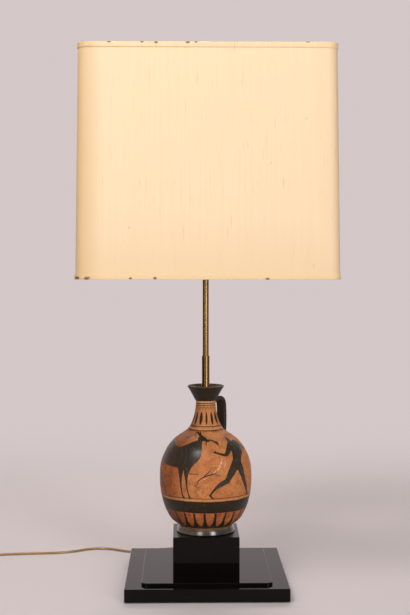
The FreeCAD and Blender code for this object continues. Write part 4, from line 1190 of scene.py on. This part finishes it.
LEAD_ROUTE = [
    (0, 131.5, 8.5), (0, 146, 8.5), (-5.5, 160, 5.5), (-17, 170.5, 2.9), (-32.5, 176, 1.6),
    (-49.5, 176.5, 1.6), (-66, 170.5, 1.6), (-80, 161.5, 1.6), (-92, 156, 1.6), (-106, 157.5, 1.6),
    (-118, 163.5, 1.6),
    (-129, 171.5, 1.6), (-142, 178, 1.6), (-156, 179, 1.6), (-169, 175, 1.6), (-180.5, 166.5, 1.6),
    (-193, 158.5, 1.6), (-210, 153, 1.6), (-231, 150.5, 1.6), (-256, 148.5, 1.6), (-280, 145, 1.6),
    (-304, 142.2, 1.6), (-326, 141.5, 1.6), (-342, 141.5, 1.6),
]
TAIL_ROUTE = [(0, -13, 0), (1.5, -28, -2.4), (3.5, -43, -5.0), (4.5, -58, -6.0), (4.5, -70, -6.0)]
COIL_TURNS = 6.25
COIL_LAYERS = 4
COIL_STEPS = 24
STRAP_THICKNESS = 0.0006
STRAP_WIDTH = 0.004
STRAP_CORNER = 0.0022


def coil_centre(p, start):
    """The coil's outer radius and its centre, for a lead that runs straight into it."""
    outer = p.coil_radius + p.coil_pitch * COIL_TURNS / COIL_LAYERS
    return outer, start + Vector((-p.width, -outer, 0))


def coil_points(p, start):
    """The put away turns: layers of a flat spiral that runs in and out again."""
    layer_turns = COIL_TURNS / COIL_LAYERS
    outer, centre = coil_centre(p, start)
    points = []
    count = int(COIL_TURNS * COIL_STEPS)
    for i in range(count + 1):
        turn = COIL_TURNS * i / count
        layer = min(int(turn / layer_turns), COIL_LAYERS - 1)
        into = turn - layer * layer_turns
        radius = outer - p.coil_pitch * into if layer % 2 == 0 else p.coil_radius + p.coil_pitch * into
        height = layer * p.coil_rise
        for border in range(1, COIL_LAYERS):
            share = (turn - border * layer_turns) / (layer_turns / 3) + 0.5
            if 0 < share < 1:
                height = (border - 1 + share * share * (3 - 2 * share)) * p.coil_rise
        angle = math.pi / 2 + FULL_TURN * turn
        points.append(centre + Vector((math.cos(angle) * radius, math.sin(angle) * radius, height)))
    return points


def smooth_line(points):
    """Close points on a smooth curve that is led by a few points."""
    curve = bpy.data.curves.new("lead_line", "CURVE")
    curve.dimensions = "3D"
    spline = curve.splines.new("NURBS")
    spline.points.add(len(points) - 1)
    for spot, place in zip(spline.points, points):
        spot.co = (*place, 1.0)
    spline.order_u = 3
    spline.use_endpoint_u = True
    spline.resolution_u = 5
    holder = placed("lead_line", curve)
    bpy.context.view_layer.update()
    mesh = bpy.data.meshes.new_from_object(holder.evaluated_get(bpy.context.evaluated_depsgraph_get()))
    line = [v.co.copy() for v in mesh.vertices]
    bpy.data.objects.remove(holder)
    bpy.data.meshes.remove(mesh)
    return line


def lead_section(p):
    """The flat lead's section: two round cores side by side with a waist between them."""
    wide, thick = p.width / 2, p.thickness / 2
    section = []
    for k in range(16):
        angle = FULL_TURN * k / 16
        at_waist = abs(math.cos(angle)) <= 0.05
        nose = 0.0 if at_waist else math.copysign(wide - thick, math.cos(angle))
        waist = 0.72 if at_waist else 1.0
        section.append((nose + thick * math.cos(angle), thick * waist * math.sin(angle)))
    return section


class LAMP_OT_lead(bpy.types.Operator):
    """Lay the flat lead along the table, wind up the rest of it and finish the plug"""
    bl_idname = "lamp.lead"
    bl_label = "Lead"

    def execute(self, context):
        p = settings().lamp_lead
        route = [Vector(point) * MM for point in LEAD_ROUTE]
        coil = coil_points(p, route[-1])
        end = coil[-1] + Vector((0, -p.width, 0))
        line = smooth_line([*route, *coil, end, *(end + Vector(step) * MM for step in TAIL_ROUTE)])
        section = lead_section(p)
        rings = []
        for i, place in enumerate(line):
            before, after = neighbours(line, i)
            along = (after - before).normalized()
            side = UP.cross(along).normalized()
            lift = along.cross(side)
            rings.append([place + side * s + lift * h for s, h in section])
        self.tie(p, route[-1])
        lead = piece("lead", loft(rings), "base", "gold_flex",
                     ["flex_run", "flex_coil", "flex_tail"])
        coat("plug_plastic", "cord_bush", "plug_body")
        coat("nickel", "plug_pins")
        self.plug_ridges()
        return {"FINISHED"}

    def plug_ridges(self):
        """Five small bars across the plug's back, for the fingers."""
        plug_low, plug_high = low("plug_body"), high("plug_body")
        middle = (plug_low + plug_high) / 2
        across = Matrix.Rotation(math.pi / 2, 4, "Y")
        bars = bmesh.new()
        for k in range(5):
            place = Matrix.Translation((middle.x, middle.y - 0.011 + 0.0032 * k, plug_high.z - 0.0002))
            bmesh.ops.create_cone(bars, cap_ends=True, segments=16, radius1=0.0008, radius2=0.0008,
                                  depth=0.016, matrix=place @ across)
        piece("plug_ridges", bars, "base", "plug_plastic")

    def tie(self, p, start):
        """A strip of black strap round the turns, at the coil's far side."""
        outer, centre = coil_centre(p, start)
        cover = p.width / 2 + STRAP_THICKNESS
        reach_in, reach_out = p.coil_radius - cover, outer + cover
        top = (COIL_LAYERS - 1) * p.coil_rise + p.thickness + STRAP_THICKNESS
        middle = centre + Vector((-(reach_in + reach_out) / 2, 0, top / 2))
        half = Vector(((reach_out - reach_in) / 2, 0, top / 2))
        edge = Vector((0, STRAP_WIDTH / 2, 0))
        rings = []
        for quarter, (side, lift) in enumerate(((1, 1), (-1, 1), (-1, -1), (1, -1))):
            corner = middle + Vector((side * (half.x - STRAP_CORNER), 0, lift * (half.z - STRAP_CORNER)))
            for k in range(7):
                angle = math.pi / 2 * (quarter + k / 6)
                out = Vector((math.cos(angle), 0, math.sin(angle)))
                face, back = corner + out * STRAP_CORNER, corner + out * (STRAP_CORNER - STRAP_THICKNESS)
                rings.append([face + edge, face - edge, back - edge, back + edge])
        piece("lead_tie", loft(rings, looped=True), "base", "holder_plastic")


BACKDROP_BEND = 0.3
BACKDROP_STEPS = 8


def floor_mesh():
    """A wide floor whose far edge bends up into a backdrop."""
    bm = bmesh.new()
    bmesh.ops.create_grid(bm, x_segments=1, y_segments=1, size=1.0,
                          matrix=Matrix.Diagonal((6.0, 4.0, 1.0, 1.0)))
    far = [e for e in bm.edges if all(v.co.y > 0 for v in e.verts)]
    moves = []
    for step in range(BACKDROP_STEPS):
        angle = math.pi / 2 * (step + 1) / BACKDROP_STEPS
        moves.append((0, BACKDROP_BEND * math.cos(angle), BACKDROP_BEND * math.sin(angle)))
    for move in (*moves, (0, 0, 5.0)):
        grown = bmesh.ops.extrude_edge_only(bm, edges=far)["geom"]
        far = [e for e in grown if isinstance(e, bmesh.types.BMEdge)]
        bmesh.ops.translate(bm, verts=[v for v in grown if isinstance(v, bmesh.types.BMVert)], vec=move)
    for face in bm.faces:
        face.smooth = True
    return mesh_from("floor", bm)


def floor_finish(p):
    """Pale paper, which the camera sees evenly lit far from the lamp."""
    r = Recipe("pale_floor")
    grain = r.noise(3.0, 3.0, 0.5)
    r.surface(Base_Color=r.mix(grain * 0.06, p.backdrop, (0.5, 0.45, 0.45)), Roughness=0.9)
    ray = r.node("LightPath").outputs
    seen = r.either(ray["Is Camera Ray"], ray["Is Glossy Ray"], ray["Is Transmission Ray"])
    distance = r.node("VectorMath", {0: r.place}, operation="LENGTH").outputs["Value"]
    glow = r.node("Emission", {"Color": p.backdrop})
    far = r.step(distance, 0.5, 1.7)
    blend = r.node("MixShader", {0: seen * far, 1: r.shader.outputs[0], 2: glow.outputs[0]})
    r.put(r.nodes["Material Output"].inputs["Surface"], blend.outputs[0])
    return r.material


def area_lamp(name, power, size, place, target):
    """A soft rectangular lamp that faces a target."""
    light = bpy.data.lights.new(name, "AREA")
    light.shape = "RECTANGLE"
    light.size, light.size_y = size
    light.energy = power
    obj = placed(name, light)
    obj.location = place
    obj.rotation_euler = (Vector(target) - Vector(place)).to_track_quat("-Z", "Y").to_euler()


def even_light(p):
    """A world that lights evenly and looks like the backdrop, in mirrors only partly so."""
    world = bpy.data.worlds.new("even_light")
    world.use_nodes = True
    w = Wiring(world.node_tree)
    sky = w.nodes["Background"]
    w.put(sky.inputs["Color"], (1.0, 0.97, 0.95))
    w.put(sky.inputs["Strength"], p.ambient)
    pale = w.node("Background", {"Color": p.backdrop})
    ray = w.node("LightPath").outputs
    seen = w.either(ray["Is Camera Ray"], ray["Is Transmission Ray"])
    share = w.math("MULTIPLY_ADD", ray["Is Glossy Ray"], 0.35, seen)
    both = w.node("MixShader", {0: share, 1: sky.outputs[0], 2: pale.outputs[0]})
    w.put(w.nodes["World Output"].inputs["Surface"], both.outputs[0])
    return world


def photo_camera(p):
    """A camera at the photograph's height and distance."""
    camera = bpy.data.cameras.new("camera")
    camera.lens = p.lens
    camera.sensor_width = 36.0
    camera.clip_end = 50.0
    eye = placed("camera", camera)
    eye.location = (-0.03026, -1.5997, 0.42035)
    eye.rotation_euler = (math.pi / 2 - p.pitch, 0, -p.turn)
    return eye


class LAMP_OT_stage(bpy.types.Operator):
    """Set up the floor, the backdrop, the lamps, the world and the camera"""
    bl_idname = "lamp.stage"
    bl_label = "Stage"

    def execute(self, context):
        p = settings().lamp_stage
        scene = context.scene
        floor = placed("floor", floor_mesh())
        floor.data.materials.append(floor_finish(p))
        area_lamp("front_left", p.key * 0.62, (1.1, 2.2), (-1.6, -3.6, 1.25), (0, 0, 0.35))
        area_lamp("front_right", p.key, (1.1, 2.2), (1.9, -3.45, 1.25), (0, 0, 0.35))
        area_lamp("above", p.top, (0.6, 0.6), (-0.6, -0.95, 1.72), (0, 0, 0.2))
        area_lamp("behind", p.fill, (2.8, 1.2), (0.1, 2.6, 2.3), (0, 0, 0.3))
        scene.world = even_light(p)
        scene.camera = photo_camera(p)
        scene.view_settings.view_transform = "Standard"
        return {"FINISHED"}


class LAMP_PT_panel(bpy.types.Panel):
    bl_idname = "LAMP_PT_panel"
    bl_label = "Flask Lamp"
    bl_space_type = "VIEW_3D"
    bl_region_type = "UI"
    bl_category = "Flask Lamp"

    def draw(self, context):
        for name in GROUPS:
            box = self.layout.box()
            group = getattr(context.scene, name)
            for setting in group.bl_rna.properties.keys():
                if setting not in ("rna_type", "name"):
                    box.prop(group, setting)
        for operator in OPERATORS:
            self.layout.operator(operator.bl_idname)


GROUPS = {
    "lamp_flask": FlaskSettings, "lamp_shade": ShadeSettings, "lamp_metal": MetalSettings,
    "lamp_base": BaseSettings, "lamp_lead": LeadSettings, "lamp_stage": StageSettings,
}
OPERATORS = [
    LAMP_OT_stage, LAMP_OT_lead, LAMP_OT_base, LAMP_OT_flask, LAMP_OT_figures, LAMP_OT_stem, LAMP_OT_shade,
]


def register():
    for cls in [*GROUPS.values(), *OPERATORS, LAMP_PT_panel]:
        bpy.utils.register_class(cls)
    for name, group in GROUPS.items():
        setattr(bpy.types.Scene, name, bpy.props.PointerProperty(type=group))


def unregister():
    for name in GROUPS:
        delattr(bpy.types.Scene, name)
    for cls in [LAMP_PT_panel, *reversed(OPERATORS), *reversed(list(GROUPS.values()))]:
        bpy.utils.unregister_class(cls)


def main():
    register()
    bpy.ops.lamp.stage()
    bpy.ops.lamp.lead()
    bpy.ops.lamp.base()
    bpy.ops.lamp.flask()
    bpy.ops.lamp.figures()
    bpy.ops.lamp.stem()
    bpy.ops.lamp.shade()


if __name__ == "__main__":
    main()
